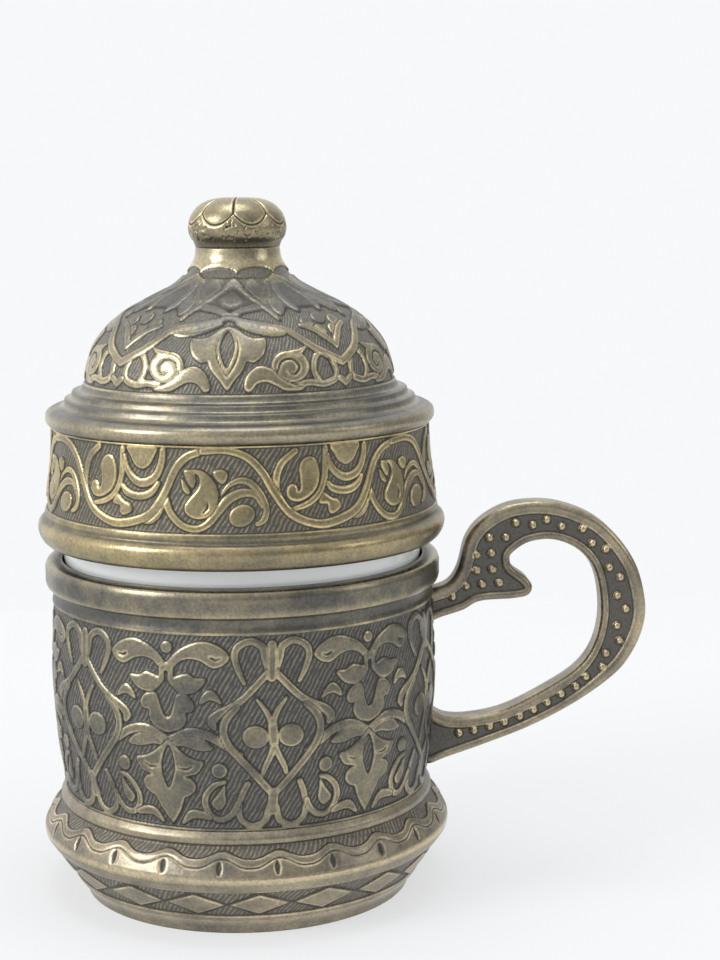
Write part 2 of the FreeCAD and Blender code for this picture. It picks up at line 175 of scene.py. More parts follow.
def profileOf(runs):
    # every run is sampled evenly by length; the runs join end to end
    pieces = []
    for rows, points in runs:
        line = curveThrough(points, 12) if len(points) > 2 else np.array(points, float)
        length = np.concatenate([[0], np.cumsum(np.hypot(*np.diff(line[:, :2], axis=0).T))])
        even = np.linspace(0, length[-1], rows + 1)
        sampled = np.stack([np.interp(even, length, line[:, part]) for part in range(3)], 1)
        pieces.append(sampled if not pieces else sampled[1:])
    line = np.concatenate(pieces)
    along = np.concatenate([[0], np.cumsum(np.hypot(*np.diff(line[:, :2], axis=0).T))])
    return line, along


def buildMesh(name, points, faces, corners, values):
    # faces is a list of index arrays, all faces of one array having as many corners
    mesh = bpy.data.meshes.new(name)
    mesh.vertices.add(len(points))
    mesh.vertices.foreach_set("co", (points * mm).astype(np.float32).ravel())
    mesh.loops.add(sum(part.size for part in faces))
    mesh.loops.foreach_set("vertex_index", np.concatenate([part.ravel() for part in faces]).astype(np.int32))
    sizes = np.concatenate([np.full(len(part), part.shape[1]) for part in faces])
    mesh.polygons.add(len(sizes))
    mesh.polygons.foreach_set("loop_start", np.concatenate([[0], np.cumsum(sizes)[:-1]]).astype(np.int32))
    mesh.update(calc_edges=True)
    layer = mesh.uv_layers.new(name="inMillimetres")
    placed = np.concatenate([part.reshape(-1, 2) for part in corners])
    layer.data.foreach_set("uv", placed.astype(np.float32).ravel())
    for label, given in values.items():
        attribute = mesh.attributes.new(label, "FLOAT", "POINT")
        attribute.data.foreach_set("value", given.astype(np.float32).ravel())
    mesh.shade_smooth()
    if mesh.validate(verbose=False):
        print(name, "had faults that were mended")
    piece = bpy.data.objects.new(name, mesh)
    bpy.context.scene.collection.objects.link(piece)
    return piece


def turnedPiece(name, runs, look, pattern, closed=True):
    # point = (radius * sin angle, -radius * cos angle, height), less the relief's depth along the
    # normal; depth = full depth * (1 - step over the flank) + drop * (1 - step over the shoulder)
    columns = look["columns"]
    line, along = profileOf(runs)
    if closed:
        line, along = line[:-1], along[:-1]
    angle = np.arange(columns) * 2 * math.pi / columns - math.pi
    run = np.roll(line, -1, 0) - np.roll(line, 1, 0) if closed else np.gradient(line, axis=0)
    length = np.hypot(run[:, 0], run[:, 1]) + 1e-9
    outward, upward = run[:, 1] / length, -run[:, 0] / length
    turnGrid, alongGrid = np.meshgrid(angle, along)
    relief = pattern(turnGrid, alongGrid, line)
    sunk = look["depth"] * (1 - smoothStep(*flank, relief))
    sunk = sunk + shoulderDrop * (1 - smoothStep(*shoulder, relief))
    if not closed:
        sunk[0] = sunk[-1] = 0
    radius = line[:, 0][:, None] - sunk * outward[:, None]
    height = line[:, 1][:, None] - sunk * upward[:, None]
    points = np.stack([radius * np.sin(turnGrid), -radius * np.cos(turnGrid), height], 2)
    wearsheen = np.repeat(line[:, 2][:, None], columns, 1)
    rows = len(line)
    rowStart = np.arange(rows if closed else rows - 1)[:, None] * columns
    step = np.arange(columns)[None, :]
    nextStep = (step + 1) % columns
    rowNext = (rowStart + columns) % (rows * columns)
    quads = np.stack([rowStart + step, rowStart + nextStep, rowNext + nextStep, rowNext + step], 2)
    u0 = np.broadcast_to(angle[None, :] * ringRadius, quads.shape[:2])
    u1 = u0 + 2 * math.pi / columns * ringRadius
    v0 = np.broadcast_to(along[:len(quads), None], quads.shape[:2])
    v1 = v0 + np.diff(np.append(along, along[-1] + 0.3))[:len(quads), None]
    corners = np.stack([np.stack(pair, 2) for pair in ((u0, v0), (u1, v0), (u1, v1), (u0, v1))], 2)
    faces = [quads.reshape(-1, 4)]
    uvs = [corners.reshape(-1, 4, 2)]
    flat = points.reshape(-1, 3)
    if not closed:
        low, high = faces[0][:columns], faces[0][-columns:]
        first = np.stack([np.zeros(columns, int), low[:, 2], low[:, 3]], 1)
        last = np.stack([high[:, 0], high[:, 1], np.full(columns, (rows - 1) * columns)], 1)
        firstUv, lastUv = uvs[0][:columns][:, [0, 2, 3]], uvs[0][-columns:][:, [0, 1, 3]]
        faces = [faces[0][columns:-columns], first, last]
        uvs = [uvs[0][columns:-columns], firstUv, lastUv]
        keep = np.ones(len(flat), bool)
        keep[1:columns] = False
        keep[(rows - 1) * columns + 1:] = False
        number = np.cumsum(keep) - 1
        faces = [number[part] for part in faces]
        flat, relief, wearsheen = flat[keep], relief.ravel()[keep], wearsheen.ravel()[keep]
    return buildMesh(name, flat, faces, uvs, {"relief": relief, "wearsheen": wearsheen})


# Barrel: sixfold arabesque of cartouches and palmettes between two plain borders
barrelLook = {"columns": 672, "bandRows": 106, "depth": 0.3, "turn": 7.5, "period": 60.0, "borderHeight": 30.1}


def drawBarrelCell():
    cell = newCell(0.0, 15.71, 32.0)
    stroke(cell, [(0.3, 24, 1.0), (1.1, 26.5, 1.1), (1.5, 28, 1.1), (3.3, 28.9, 1.0), (5.2, 28, 1.0),
        (5.6, 26.5, 0.95), (4.9, 24.5, 0.8), (4.0, 22.8, 0.5)])
    stroke(cell, [(0, 5, 1.1), (0.6, 3.5, 1.0), (1.2, 1.6, 1.0), (3.1, 0.8, 0.9), (4.9, 1.8, 0.9),
        (5.2, 3.8, 0.9), (4.7, 5.8, 0.9), (3.9, 7.5, 0.8)])
    leaf(cell, [(8.3, 3.2), (9.3, 4.4), (8.5, 5.6), (7.9, 6.4), (7.2, 7.4), (7.2, 6), (7.2, 4.4)])
    stroke(cell, [(7.2, 7.9, 0.5), (8.6, 7.4, 0.8), (9.9, 6, 0.9), (10.3, 4.3, 0.95), (9.7, 2.7, 0.9),
        (8.5, 1.8, 0.9), (7.1, 2.0, 0.9), (5.9, 3.2, 0.9), (5.3, 4.5, 0.8)])
    stroke(cell, [(9.9, 2.1, 0.9), (11.3, 2.5, 1.3), (12.7, 2.4, 1.3), (14.1, 1.0, 0.4)])
    disc(cell, (8.0, 9.6), 1.1)
    stroke(cell, [(5.0, 12.0, 1.0), (7.1, 13.4, 1.15), (9.3, 14.9, 1.3), (12.3, 15.4, 1.2), (15.7, 13.9, 1.0)])
    leaf(cell, [(15.7, 13.2), (13.8, 14.5), (11.8, 14.7), (10.3, 14.3), (9.3, 13.5), (8.9, 12.9), (10.3, 12.6),
        (11.8, 12.8), (13.3, 13.2)], groove=0.12)
    stroke(cell, [(0.3, 24.5, 1.1), (1.2, 23.6, 1.0), (2.5, 22.2, 1.0), (4.3, 20.4, 1.0), (6.1, 19.2, 1.1),
        (7.8, 18.3, 1.2), (8.8, 17.2, 1.4), (8.5, 16.2, 0.7)])
    stroke(cell, [(5.0, 19.3, 0.8), (6.6, 17.6, 1.1), (7.2, 15.6, 1.1), (6.6, 13.6, 1.1), (5.2, 11.6, 1.05),
        (3.4, 9.5, 1.05), (1.6, 7.4, 1.05), (0, 5.6, 1.1)])
    stroke(cell, [(0, 3.2, 1.5), (0, 6.0, 1.5)], groove=0)
    stroke(cell, [(0, 23.6, 1.3), (0, 28.3, 1.3)], groove=0)
    disc(cell, (2.6, 14.7), 1.85, 1.75)
    stroke(cell, [(0, 13, 1.3), (0, 17.2, 1.3)], groove=0)
    stroke(cell, [(0.1, 17.0, 0.8), (0.9, 18.8, 0.7), (2.1, 20.5, 0.4)], groove=0)
    stroke(cell, [(0.1, 13, 0.9), (0.7, 11.5, 0.85), (1.4, 10, 0.8), (1.7, 9, 0.6)], groove=0)
    leaf(cell, [(16.2, 1.2), (15.3, 1.5), (14.6, 2.5), (13.9, 3.8), (13.3, 5.2), (12.6, 5.5), (11.7, 6.3),
        (11.5, 7.3), (12.1, 8.2), (13.1, 8.5), (12.3, 8.8), (11.3, 9.1), (10.6, 10), (10.3, 10.9),
        (11.3, 11.1), (12.6, 11.6), (13.8, 12.4), (14.7, 13.1), (16.2, 13.2)])
    leaf(cell, [(15.7, 6.6), (14.9, 8.2), (14.6, 9.9), (14.9, 11.8), (15.7, 13.3), (16.5, 11.8), (16.8, 9.9),
        (16.5, 8.2)], raised=False)
    stroke(cell, [(14.1, 9.9, 0.2), (12.8, 9.75, 0.32), (11.9, 10.2, 0.2)], raised=False)
    leaf(cell, [(16.4, 25.6), (15.6, 25.7), (14.3, 27.1), (12.8, 28.1), (10.8, 28.8), (9, 28.6), (7.3, 27.7),
        (6.4, 26.5), (7.3, 25.4), (8.6, 25.0), (9.6, 25.4), (10.6, 26), (12.3, 26.3), (13.8, 25.8),
        (14.9, 24.6), (16.4, 24.4)])
    leaf(cell, [(16.4, 24.6), (15.4, 24.4), (15.3, 22.9), (13.7, 21.4), (12.3, 21.2), (10.8, 21.8), (9.7, 23.4),
        (11.3, 23.5), (12.5, 24.1), (13.8, 23.8), (14.6, 23.6), (14.8, 25.2), (16.4, 25.6)], groove=0.1)
    stroke(cell, [(9.1, 26.5, 0.35), (8.4, 26.2, 0.35), (7.7, 26.4, 0.2)], raised=False)
    disc(cell, (15.7, 27.9), 0.85)
    leaf(cell, [(14.1, 20.9), (12.9, 21.0), (12.0, 20.5), (11.4, 19.4), (11.9, 18.5), (12.8, 18.4),
        (12.7, 17.5), (13.1, 16.4), (14.2, 15.6), (16.2, 15.2), (16.2, 17.2), (15.3, 17.6), (14.7, 19)])
    leaf(cell, [(10.6, 19.7), (10.2, 21), (9, 21.9), (7.9, 21.1), (7.2, 19.8), (8.1, 20.2), (9.1, 20.4),
        (9.9, 20)])
    return cell


def foldedAt(turn, first, period, radius=ringRadius):
    # distance in mm from the nearest axis of a mirrored pattern
    share = np.mod(np.degrees(turn) - first, period)
    return np.radians(np.minimum(share, period - share)) * radius


def barrelPattern(cell, bandFoot):
    def pattern(turn, along, line):
        up = along - bandFoot
        sway = 0.12 * np.sin(3 * turn + 0.4 * up) + 0.1 * np.sin(7 * turn - 0.25 * up)
        across = foldedAt(turn + sway / ringRadius, barrelLook["turn"], barrelLook["period"])
        relief = readCell(cell, across, np.clip(up + 0.5 * sway, 0, 31.9))
        relief = np.maximum(relief, 0.3 - up)
        relief = np.maximum(np.minimum(relief, np.abs(up - barrelLook["borderHeight"]) - 0.35),
                            np.where(up > barrelLook["borderHeight"] - 0.2, 0.2, -plain))
        return np.where((up > -0.05) & (up < 30.4), relief, plain)
    return pattern


def barrelRuns():
    shape = [(28.9, 16.8), (29.15, 20.0), (29.85, 24.8), (30.4, 34.7), (30.15, 42.4), (30.05, 46.9)]
    band = [(radius, height, 0.42) for radius, height in shape]
    return [
        (2, [(28.18, 13.92, 0.2), (28.24, 16.78, 0.2)]),
        (2, [(28.24, 16.78, 0.2), (28.9, 16.8, 0.3)]),
        (barrelLook["bandRows"], band),
        (7, [(30.05, 46.9, 0.15), (29.85, 47.7, 0.05), (30.0, 48.6, 0.1), (30.2, 48.9, 0.4)]),
        # the wear peaks at the rim bead's lower and upper edges are partly polish and partly a painted highlight
        # streak
        (6, [(30.2, 48.9, 0.4), (30.75, 49.25, 1.2), (31.0, 50.0, 0.6)]),
        (6, [(31.0, 50.0, 0.5), (30.98, 51.1, 0.4), (31.0, 52.1, 0.5)]),
        (6, [(31.0, 52.1, 0.5), (30.65, 52.95, 1.0), (29.8, 53.3, 0.6)]),
        (2, [(29.8, 53.3, 0.5), (28.45, 53.28, 0.3)]),
        (1, [(28.45, 53.28, 0.3), (28.35, 53.15, 0.2)]),
        (4, [(28.35, 53.15, 0.2), (28.35, 34.7, 0.0)]),
        (3, [(28.35, 34.7, 0.0), (27.15, 16.8, 0.0)]),
        (1, [(27.15, 16.8, 0.0), (27.15, 13.9, 0.0)]),
        (1, [(27.15, 13.9, 0.0), (28.18, 13.92, 0.2)]),
    ]


def footOfRun(runs, number):
    return profileOf(runs[:number])[1][-1]


barrelPiece = turnedPiece("chasedBarrel", barrelRuns(), barrelLook,
                          barrelPattern(drawBarrelCell(), footOfRun(barrelRuns(), 2)))
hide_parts("holder_wall")
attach(barrelPiece, "holder")
print("barrel", len(barrelPiece.data.polygons), "faces")


# Lid's band: a running vine, six times round, between the lower bead and the dome's bead
skirtLook = {"columns": 760, "bandRows": 62, "depth": 0.3, "turn": 7.5, "period": 60.0, "height": 13.1}
vinePeriod = math.radians(skirtLook["period"]) * ringRadius


def drawSkirtCell():
    cell = newCell(-vinePeriod - 0.1, 0.1, 14.0, (-vinePeriod, 0, vinePeriod))
    stroke(cell, [(-29.4, 4.4, 0.9), (-30.4, 7.2, 1.0), (-29.6, 10.2, 1.0), (-27.4, 12.1, 0.9)])
    stroke(cell, [(-22.6, 12.2, 0.8), (-22.7, 9.8, 0.9), (-22.9, 7.8, 0.9), (-23.8, 5.9, 0.8),
        (-25.2, 4.7, 0.8), (-26.8, 4.1, 0.7), (-28.0, 3.9, 0.5)])
    leaf(cell, [(-26.8, 9.6), (-26.2, 10.7), (-25.2, 11.1), (-24.3, 10.7), (-23.8, 9.4), (-23.8, 7.8),
        (-24.4, 6.4), (-25.6, 5.4), (-27.0, 4.9), (-28.2, 5.1), (-28.8, 5.8), (-28.7, 6.8), (-28.0, 7.3),
        (-27.3, 6.9), (-27.2, 6.2), (-26.7, 6.6), (-26.7, 8.2)], groove=0.14)
    leaf(cell, [(-21.6, 12.7), (-21.1, 11.2), (-20.4, 10.1), (-19.2, 9.5), (-18.0, 10.0), (-17.2, 11.2),
        (-16.9, 12.7)])
    stroke(cell, [(-22.2, 11.2, 0.5), (-21.8, 9.6, 0.9), (-20.8, 8.3, 1.1), (-19.3, 7.6, 1.2),
        (-17.8, 7.9, 1.2), (-16.6, 8.9, 1.1), (-15.9, 10.6, 1.0), (-15.7, 12.2, 0.9)], groove=0.16)
    stroke(cell, [(-22.3, 6.9, 0.7), (-21.8, 6.3, 1.0), (-20.4, 5.8, 1.1), (-18.8, 5.8, 1.1),
        (-17.4, 6.4, 1.0), (-16.4, 7.6, 0.6)], groove=0.14)
    leaf(cell, [(-24.0, 4.4), (-23.8, 5.0), (-23.1, 5.7), (-22.4, 5.2), (-21.8, 4.8), (-21.2, 4.7),
        (-20.7, 4.2), (-20.7, 3.4), (-21.4, 2.9), (-22.2, 2.7), (-22.6, 3.2), (-22.7, 4.1), (-23.4, 4.2)],
        groove=0.14)
    leaf(cell, [(-19.2, 1.9), (-17.4, 1.7), (-16.0, 2.8), (-15.3, 4.6), (-15.9, 4.9), (-16.8, 3.6),
        (-18.0, 2.6)])
    stroke(cell, [(-15.0, 7.4, 0.7), (-15.1, 5.4, 1.0), (-14.2, 3.2, 1.0), (-12.4, 1.5, 1.0), (-10.4, 1.1, 1.0),
        (-8.8, 1.9, 1.0), (-7.4, 3.6, 1.05), (-6.0, 5.3, 1.2), (-4.0, 6.3, 1.1), (-2.0, 6.0, 0.8),
        (-1.0, 4.4, 0.6)])
    leaf(cell, [(-11.6, 5.4), (-10.2, 7.0), (-10.2, 8.6), (-11.4, 9.4), (-9.6, 9.2), (-8.0, 7.8), (-7.4, 6.2),
        (-7.7, 4.4), (-8.9, 2.9), (-10.6, 2.6), (-12.0, 3.4), (-12.2, 4.5)])
    stroke(cell, [(-9.0, 5.2, 0.2), (-8.9, 4.2, 0.4), (-9.5, 3.5, 0.2)], raised=False)
    leaf(cell, [(-12.4, 9.3), (-11.3, 9.3), (-10.7, 8.2), (-11.1, 7.0), (-12.0, 8.0)], groove=0.12)
    leaf(cell, [(-12.8, 8.2), (-12.1, 7.4), (-11.5, 6.5), (-11.8, 6.1), (-12.6, 6.8)], groove=0.12)
    leaf(cell, [(-8.1, 9.0), (-7.0, 9.5), (-6.0, 8.9), (-6.5, 7.6), (-7.4, 7.9)])
    stroke(cell, [(-6.9, 6.0, 0.2), (-5.8, 7.3, 0.5), (-4.2, 8.0, 0.8), (-2.6, 7.6, 0.9), (-1.2, 6.0, 0.9),
        (-0.5, 4.2, 0.8), (-0.8, 2.6, 0.8), (-1.8, 1.9, 0.6)], groove=0.12)
    disc(cell, (-4.0, 3.1), 1.85, 1.5, lean=0.5)
    stroke(cell, [(-9.6, 12.15, 1.0), (-12.0, 11.3, 1.15), (-13.8, 9.5, 1.15), (-15.6, 5.9, 1.15),
        (-18.0, 2.9, 1.25), (-22.0, 1.5, 1.3), (-25.0, 1.6, 1.2), (-28.3, 3.2, 1.15),
        (-30.6, 6.2, 1.1), (-32.4, 9.2, 1.1), (-34.6, 11.4, 1.1), (-37.6, 12.3, 1.0),
        (-41.0, 12.15, 1.0)])
    return cell


def skirtPattern(cell, bandFoot):
    def pattern(turn, along, line):
        up = along - bandFoot
        sway = 0.1 * np.sin(2 * turn + 0.5 * up) + 0.08 * np.sin(9 * turn)
        period = skirtLook["period"]
        across = np.radians(np.mod(np.degrees(turn) - skirtLook["turn"], period) - period)
        relief = readCell(cell, across * ringRadius, np.clip(up + sway, 0, 13.9))
        relief = np.maximum(relief, 0.35 - up)
        relief = np.maximum(relief, up - skirtLook["height"] + 0.35)
        return np.where((up > 0) & (up < skirtLook["height"]), relief, plain)
    return pattern


def skirtRuns():
    return [
        (2, [(28.9, 56.12, 0.0), (30.65, 56.1, 0.3)]),
        (2, [(30.65, 56.1, 0.3), (31.2, 56.6, 0.6)]),
        (12, [(31.2, 56.6, 0.5), (31.65, 57.4, 0.6), (31.9, 58.43, 0.8), (31.7, 59.35, 0.9), (31.2, 59.85, 0.3)]),
        (3, [(31.2, 59.85, 0.3), (30.7, 60.1, 0.05), (30.75, 60.5, 0.2)]),
        (3, [(30.75, 60.5, 0.35), (30.8, 60.8, 0.6), (30.72, 61.15, 0.4)]),
        (skirtLook["bandRows"],
         [(30.72, 61.15, 0.62), (30.35, 64.9, 0.66), (29.75, 69.2, 0.66), (29.5, 74.1, 0.6)]),
        (2, [(29.5, 74.1, 0.2), (29.3, 74.2, 0.05), (28.1, 74.19, 0.0)]),
        (1, [(28.1, 74.19, 0.0), (28.0, 74.1, 0.0)]),
        (2, [(28.0, 74.1, 0.0), (28.0, 67.4, 0.0)]),
        (2, [(28.0, 67.4, 0.0), (24.9, 67.4, 0.1)]),
        (2, [(24.9, 67.4, 0.1), (24.8, 67.3, 0.1), (24.8, 66.0, 0.1)]),
        (2, [(24.8, 66.0, 0.1), (28.9, 66.0, 0.0)]),
        (3, [(28.9, 66.0, 0.0), (28.9, 56.12, 0.0)]),
    ]


skirtPiece = turnedPiece("vineBand", skirtRuns(), skirtLook,
                         skirtPattern(drawSkirtCell(), footOfRun(skirtRuns(), 5)))
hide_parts("lid_skirt")
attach(skirtPiece, "lid")
print("skirt", len(skirtPiece.data.polygons), "faces")


# Dome: four arches with a tulip under each, worn towards the neck, and the stepped flange below
domeLook = {"columns": 560, "domeRows": 104, "depth": 0.28, "turn": -4.5, "period": 90.0, "radius": 24.0,
            "scallopTurn": -1.6, "scallopPeriod": 45.0, "collarFoot": 25.5, "collarRise": 1.3,
            "grooveHalf": 0.28, "wornFrom": (13.5, 17.5), "wornTo": (24.9, 25.5), "band": (0.2, 29.3)}


def drawDomeCell():
    cell = newCell(0.0, 18.86, 30.0)
    leaf(cell, [(11, 15.0), (12.4, 16.8), (13.2, 19.6), (12.2, 21.6), (10.4, 19.4), (9.8, 16.8)])
    leaf(cell, [(4.2, 22.6), (5.6, 24.4), (8.8, 24.6), (12.4, 22.4), (10.8, 19.8), (7.4, 18.8), (5.2, 20.2)])
    leaf(cell, [(-1, 21.8), (1.2, 21.4), (2.8, 20.0), (2.4, 18.6), (0.8, 17.9), (-1, 17.9)])
    stroke(cell, [(18.9, 24.2, 1.2), (16.4, 23.6, 1.3), (14.8, 21.6, 1.2), (14.6, 18.6, 1.1),
        (15.6, 16.2, 0.8)])
    stroke(cell, [(0, 14.6, 1.5), (2.6, 16.5, 1.6), (6.2, 17.6, 1.6), (9.2, 19.4, 1.4), (13.2, 23.6, 1.2),
        (18.9, 25.4, 1.0)])
    stroke(cell, [(0, 24.4, 1.3), (2.4, 23.4, 1.4), (5.4, 20.6, 1.2), (8.6, 16.6, 1.2), (9.8, 14.2, 1.0)])
    disc(cell, (15.3, 13.0), 1.3)
    disc(cell, (18.86, 13.9), 1.5, 1.2)
    disc(cell, (17.2, 10.9), 1.2, 1.4)
    stroke(cell, [(18.9, 8.2, 1.0), (17.8, 9.6, 1.1), (15.8, 11.4, 1.0), (13.6, 12.4, 0.8)])
    stroke(cell, [(9.9, 2.3, 0.9), (12.4, 2.8, 0.9), (15.0, 2.5, 1.0), (17.2, 3.4, 1.0), (17.0, 5.6, 1.0),
        (15.6, 7.6, 0.9), (13.9, 6.4, 0.9), (13.4, 4.4, 0.9), (14.2, 2.9, 0.8)])
    stroke(cell, [(18.9, 2.4, 1.0), (17.8, 3.2, 0.9)])
    disc(cell, (9.7, 5.4), 2.95, 2.35)
    leaf(cell, [(11.0, 6.9), (13.0, 8.4), (11.4, 8.0), (9.4, 7.6)], groove=0.0)
    stroke(cell, [(7.5, 4.4, 0.25), (8.3, 6.1, 0.4), (10.0, 6.4, 0.4), (11.0, 5.2, 0.4), (10.1, 4.1, 0.35),
        (9.1, 4.7, 0.2)], raised=False)
    leaf(cell, [(11.6, 1.9), (9.6, 2.7), (8.0, 3.6), (6.8, 4.9), (5.2, 5.5), (3.7, 4.9), (2.8, 3.6),
        (2.6, 2.2), (3.4, 1.8), (4.4, 2.9), (5.8, 3.2), (7.2, 2.6), (8.8, 1.8)])
    stroke(cell, [(0.4, 14.5, 1.2), (3, 13.5, 1.5), (6, 12.9, 1.4), (8, 12.4, 1.3), (10.5, 11.5, 1.3),
        (12.5, 9.8, 1.3), (14.5, 8.0, 1.3), (16.5, 6.8, 1.3), (18.9, 5.6, 1.2)])
    leaf(cell, [(1.0, 13.1), (3.5, 11.5), (6, 10.7), (8, 10.4), (10, 10.8), (8.2, 11.7), (6, 12.1),
        (3, 12.8)], groove=0.08)
    leaf(cell, [(-0.8, 2.3), (0, 2.0), (1.2, 3.6), (2.4, 5.0), (3.0, 6.3), (4.0, 6.1), (5.3, 7.0), (6.0, 8.4),
        (6.1, 10.1), (4.5, 10.1), (3.0, 10.7), (1.5, 12.0), (0.3, 12.5), (-0.8, 12.4)])
    leaf(cell, [(0, 5.2), (0.8, 6.6), (1.2, 8.4), (0.9, 10.4), (0, 11.7), (-0.9, 10.4), (-1.2, 8.4),
        (-0.8, 6.6)], raised=False)
    stroke(cell, [(0, 4.0, 0.2), (1.3, 6.2, 0.3), (1.75, 8.4, 0.3), (1.4, 10.4, 0.2)], raised=False)
    return cell


def domePattern(cell, bandFoot):
    # the arches end below a scalloped collar, whose edge = foot + rise * sqrt(1 - (1 - share) ** 2);
    # in the worn zone the raised parts stay and the ground is nearly level with them
    def pattern(turn, along, line):
        up = along - bandFoot
        sway = 0.1 * np.sin(5 * turn + 0.3 * up)
        across = foldedAt(turn + sway / ringRadius, domeLook["turn"], domeLook["period"], domeLook["radius"])
        relief = readCell(cell, across, np.clip(up, 0, 29.9))
        relief = np.maximum(relief, 1.3 - up)
        halfScallop = math.radians(domeLook["scallopPeriod"] / 2)
        share = foldedAt(turn, domeLook["scallopTurn"], domeLook["scallopPeriod"], 1.0) / halfScallop
        edge = domeLook["collarFoot"] + domeLook["collarRise"] * np.sqrt(np.clip(1 - (1 - share) ** 2, 0, 1))
        collar = np.abs(up - edge) - domeLook["grooveHalf"]
        relief = np.where(up > edge, collar, np.minimum(relief, collar))
        worn = smoothStep(*domeLook["wornFrom"], up) * (1 - smoothStep(*domeLook["wornTo"], up))
        faint = np.where(relief > 0, 0.5 + relief, np.maximum(0.05 * relief, -0.04))
        relief = relief * (1 - worn) + faint * worn
        low, high = domeLook["band"]
        return np.where((up > low) & (up < high), np.clip(relief, -plain, plain), plain)
    return pattern


def domeRuns():
    reach, foot, tall = 24.3 - 6.5, 80.7, 20.5
    shape = [(0.0, 0.0), (0.02, 0.10), (0.05, 0.19), (0.09, 0.28), (0.165, 0.37), (0.265, 0.46), (0.41, 0.55),
             (0.605, 0.64), (0.805, 0.73), (0.915, 0.82), (0.98, 0.91), (1.0, 1.0)]
    wearAt = [0.6, 0.7, 0.75, 0.7, 0.5, 0.3, 0.12, 0.05, 0.15, 1.0, 1.35, 0.7]
    dome = [(24.3 - inward * reach, foot + up * tall, wearsheen) for (inward, up), wearsheen in zip(shape, wearAt)]
    under = [(22.8, 80.2, 0.0), (22.35, 84.0, 0.0), (21.4, 86.4, 0.0), (19.6, 88.6, 0.0), (16.4, 90.6, 0.0),
             (12.9, 92.3, 0.0), (9.4, 94.3, 0.0), (6.9, 96.6, 0.0), (5.4, 98.9, 0.0)]
    return [
        (2, [(26.45, 72.4, 0.0), (27.9, 72.4, 0.0)]),
        (2, [(27.9, 72.4, 0.0), (27.95, 74.15, 0.0)]),
        (2, [(27.95, 74.15, 0.0), (29.7, 74.2, 0.05)]),
        (10, [(29.7, 74.2, 0.2), (30.2, 74.85, 0.55), (30.3, 75.6, 0.9), (30.05, 76.33, 0.5), (29.3, 76.8, 0.1)]),
        (3, [(29.3, 76.8, 0.1), (28.3, 76.95, 0.0)]),
        (3, [(28.3, 76.95, 0.0), (27.5, 77.35, 0.6)]),
        (4, [(27.5, 77.35, 0.6), (27.25, 78.2, 0.0)]),
        (4, [(27.25, 78.2, 0.0), (26.3, 78.55, 0.6)]),
        (4, [(26.3, 78.55, 0.6), (26.05, 79.35, 0.0)]),
        (4, [(26.05, 79.35, 0.0), (24.85, 79.65, 0.5)]),
        (5, [(24.85, 79.65, 0.5), (24.45, 80.2, 0.1), (24.3, 80.7, 0.5)]),
        (domeLook["domeRows"], dome),
        (3, [(6.5, 101.2, 0.3), (4.0, 101.2, 0.0), (1.6, 101.2, 0.0)]),
        (2, [(1.6, 101.2, 0.0), (1.55, 100.4, 0.0), (1.55, 99.4, 0.0)]),
        (2, [(1.55, 99.4, 0.0), (5.0, 99.4, 0.0)]),
        (1, [(5.0, 99.4, 0.0), (5.4, 98.9, 0.0)]),
        (14, under[::-1]),
        (3, [(22.8, 80.2, 0.0), (26.45, 76.2, 0.0)]),
        (2, [(26.45, 76.2, 0.0), (26.45, 72.4, 0.0)]),
    ]


domePiece = turnedPiece("archedDome", domeRuns(), domeLook,
                        domePattern(drawDomeCell(), footOfRun(domeRuns(), 10)))
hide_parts("lid_dome")
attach(domePiece, "lid")
print("dome", len(domePiece.data.polygons), "faces")


# Foot: lozenge band, smooth ridge, slit and scallop band, plain ring
footLook = {"columns": 760, "depth": 0.25, "lozenges": 20, "lozengeShift": 3.3, "lozengeMiddle": 6.8,
            "lozengeHalf": (4.2, 2.25), "lozengeBand": (4.0, 9.7), "crossingHeight": 2.9, "scallops": 23,
            "slitTurn": 8.5, "ribbonLow": 14.95, "ribbonRise": 1.45, "ribbonHalf": 0.62,
            "slit": (12.9, 15.5, 0.42), "slitAside": 0.4, "ringFoot": 17.7}


def lozengeBand(up, across):
    # raised lozenges with their points in line; two thin zigzag cuts cross between them
    look = footLook
    period = 2 * math.pi * ringRadius / look["lozenges"]
    drift = 3.2 * np.sin(1.2 * (across / ringRadius + 0.11)) ** 2 * np.sign(across / ringRadius + 0.11)
    place = np.abs(np.mod(across + look["lozengeShift"] - drift, period) - period / 2)
    off = np.abs(up - look["lozengeMiddle"])
    wide, tall = look["lozengeHalf"]
    lozenge = (1 - place / wide - off / tall) / math.hypot(1 / wide, 1 / tall)
    slope = look["crossingHeight"] / (period / 2)
    crossing = np.abs(off - look["crossingHeight"] + slope * place) / math.hypot(1, slope)
    ground = np.where(crossing < 0.2, -0.1, -0.5)
    low, high = look["lozengeBand"]
    return np.maximum(np.maximum(lozenge, ground), np.maximum(low - up, up - high))


def ribbonBand(up, across):
    # a wavy ribbon hangs below the plain ring, with a leaf-shaped cut under each of its crests:
    # ribbon's middle = low + rise * c ** 1.4, with c = (1 + cos(2 pi place / period)) / 2
    look = footLook
    period = 2 * math.pi * ringRadius / look["scallops"]
    shift = math.radians(look["slitTurn"]) * ringRadius
    place = np.mod(across - shift + period / 2, period) - period / 2
    crest = (0.5 + 0.5 * np.cos(2 * math.pi * place / period)) ** 1.4
    offRibbon = up - look["ribbonLow"] - look["ribbonRise"] * crest
    ribbon = look["ribbonHalf"] - np.abs(offRibbon)
    below = -offRibbon - look["ribbonHalf"] - 0.26
    low, high, half = look["slit"]
    leaf = half * np.sin(math.pi * np.clip((up - low) / (high - low), 0, 1))
    slit = np.where((up > low) & (up < high), np.abs(place + look["slitAside"]) - leaf, plain)
    return np.maximum(ribbon, np.minimum(below, np.maximum(slit, -0.16)))


def footPattern(bandFoot):
    def pattern(turn, along, line):
        up = along - bandFoot
        across = turn * ringRadius
        relief = np.where(up < 11.5, lozengeBand(up, across), ribbonBand(up, across))
        relief = np.where((up < 3.5) | (up > footLook["ringFoot"] + 0.15), plain, relief)
        return np.clip(relief, -plain, plain)
    return pattern


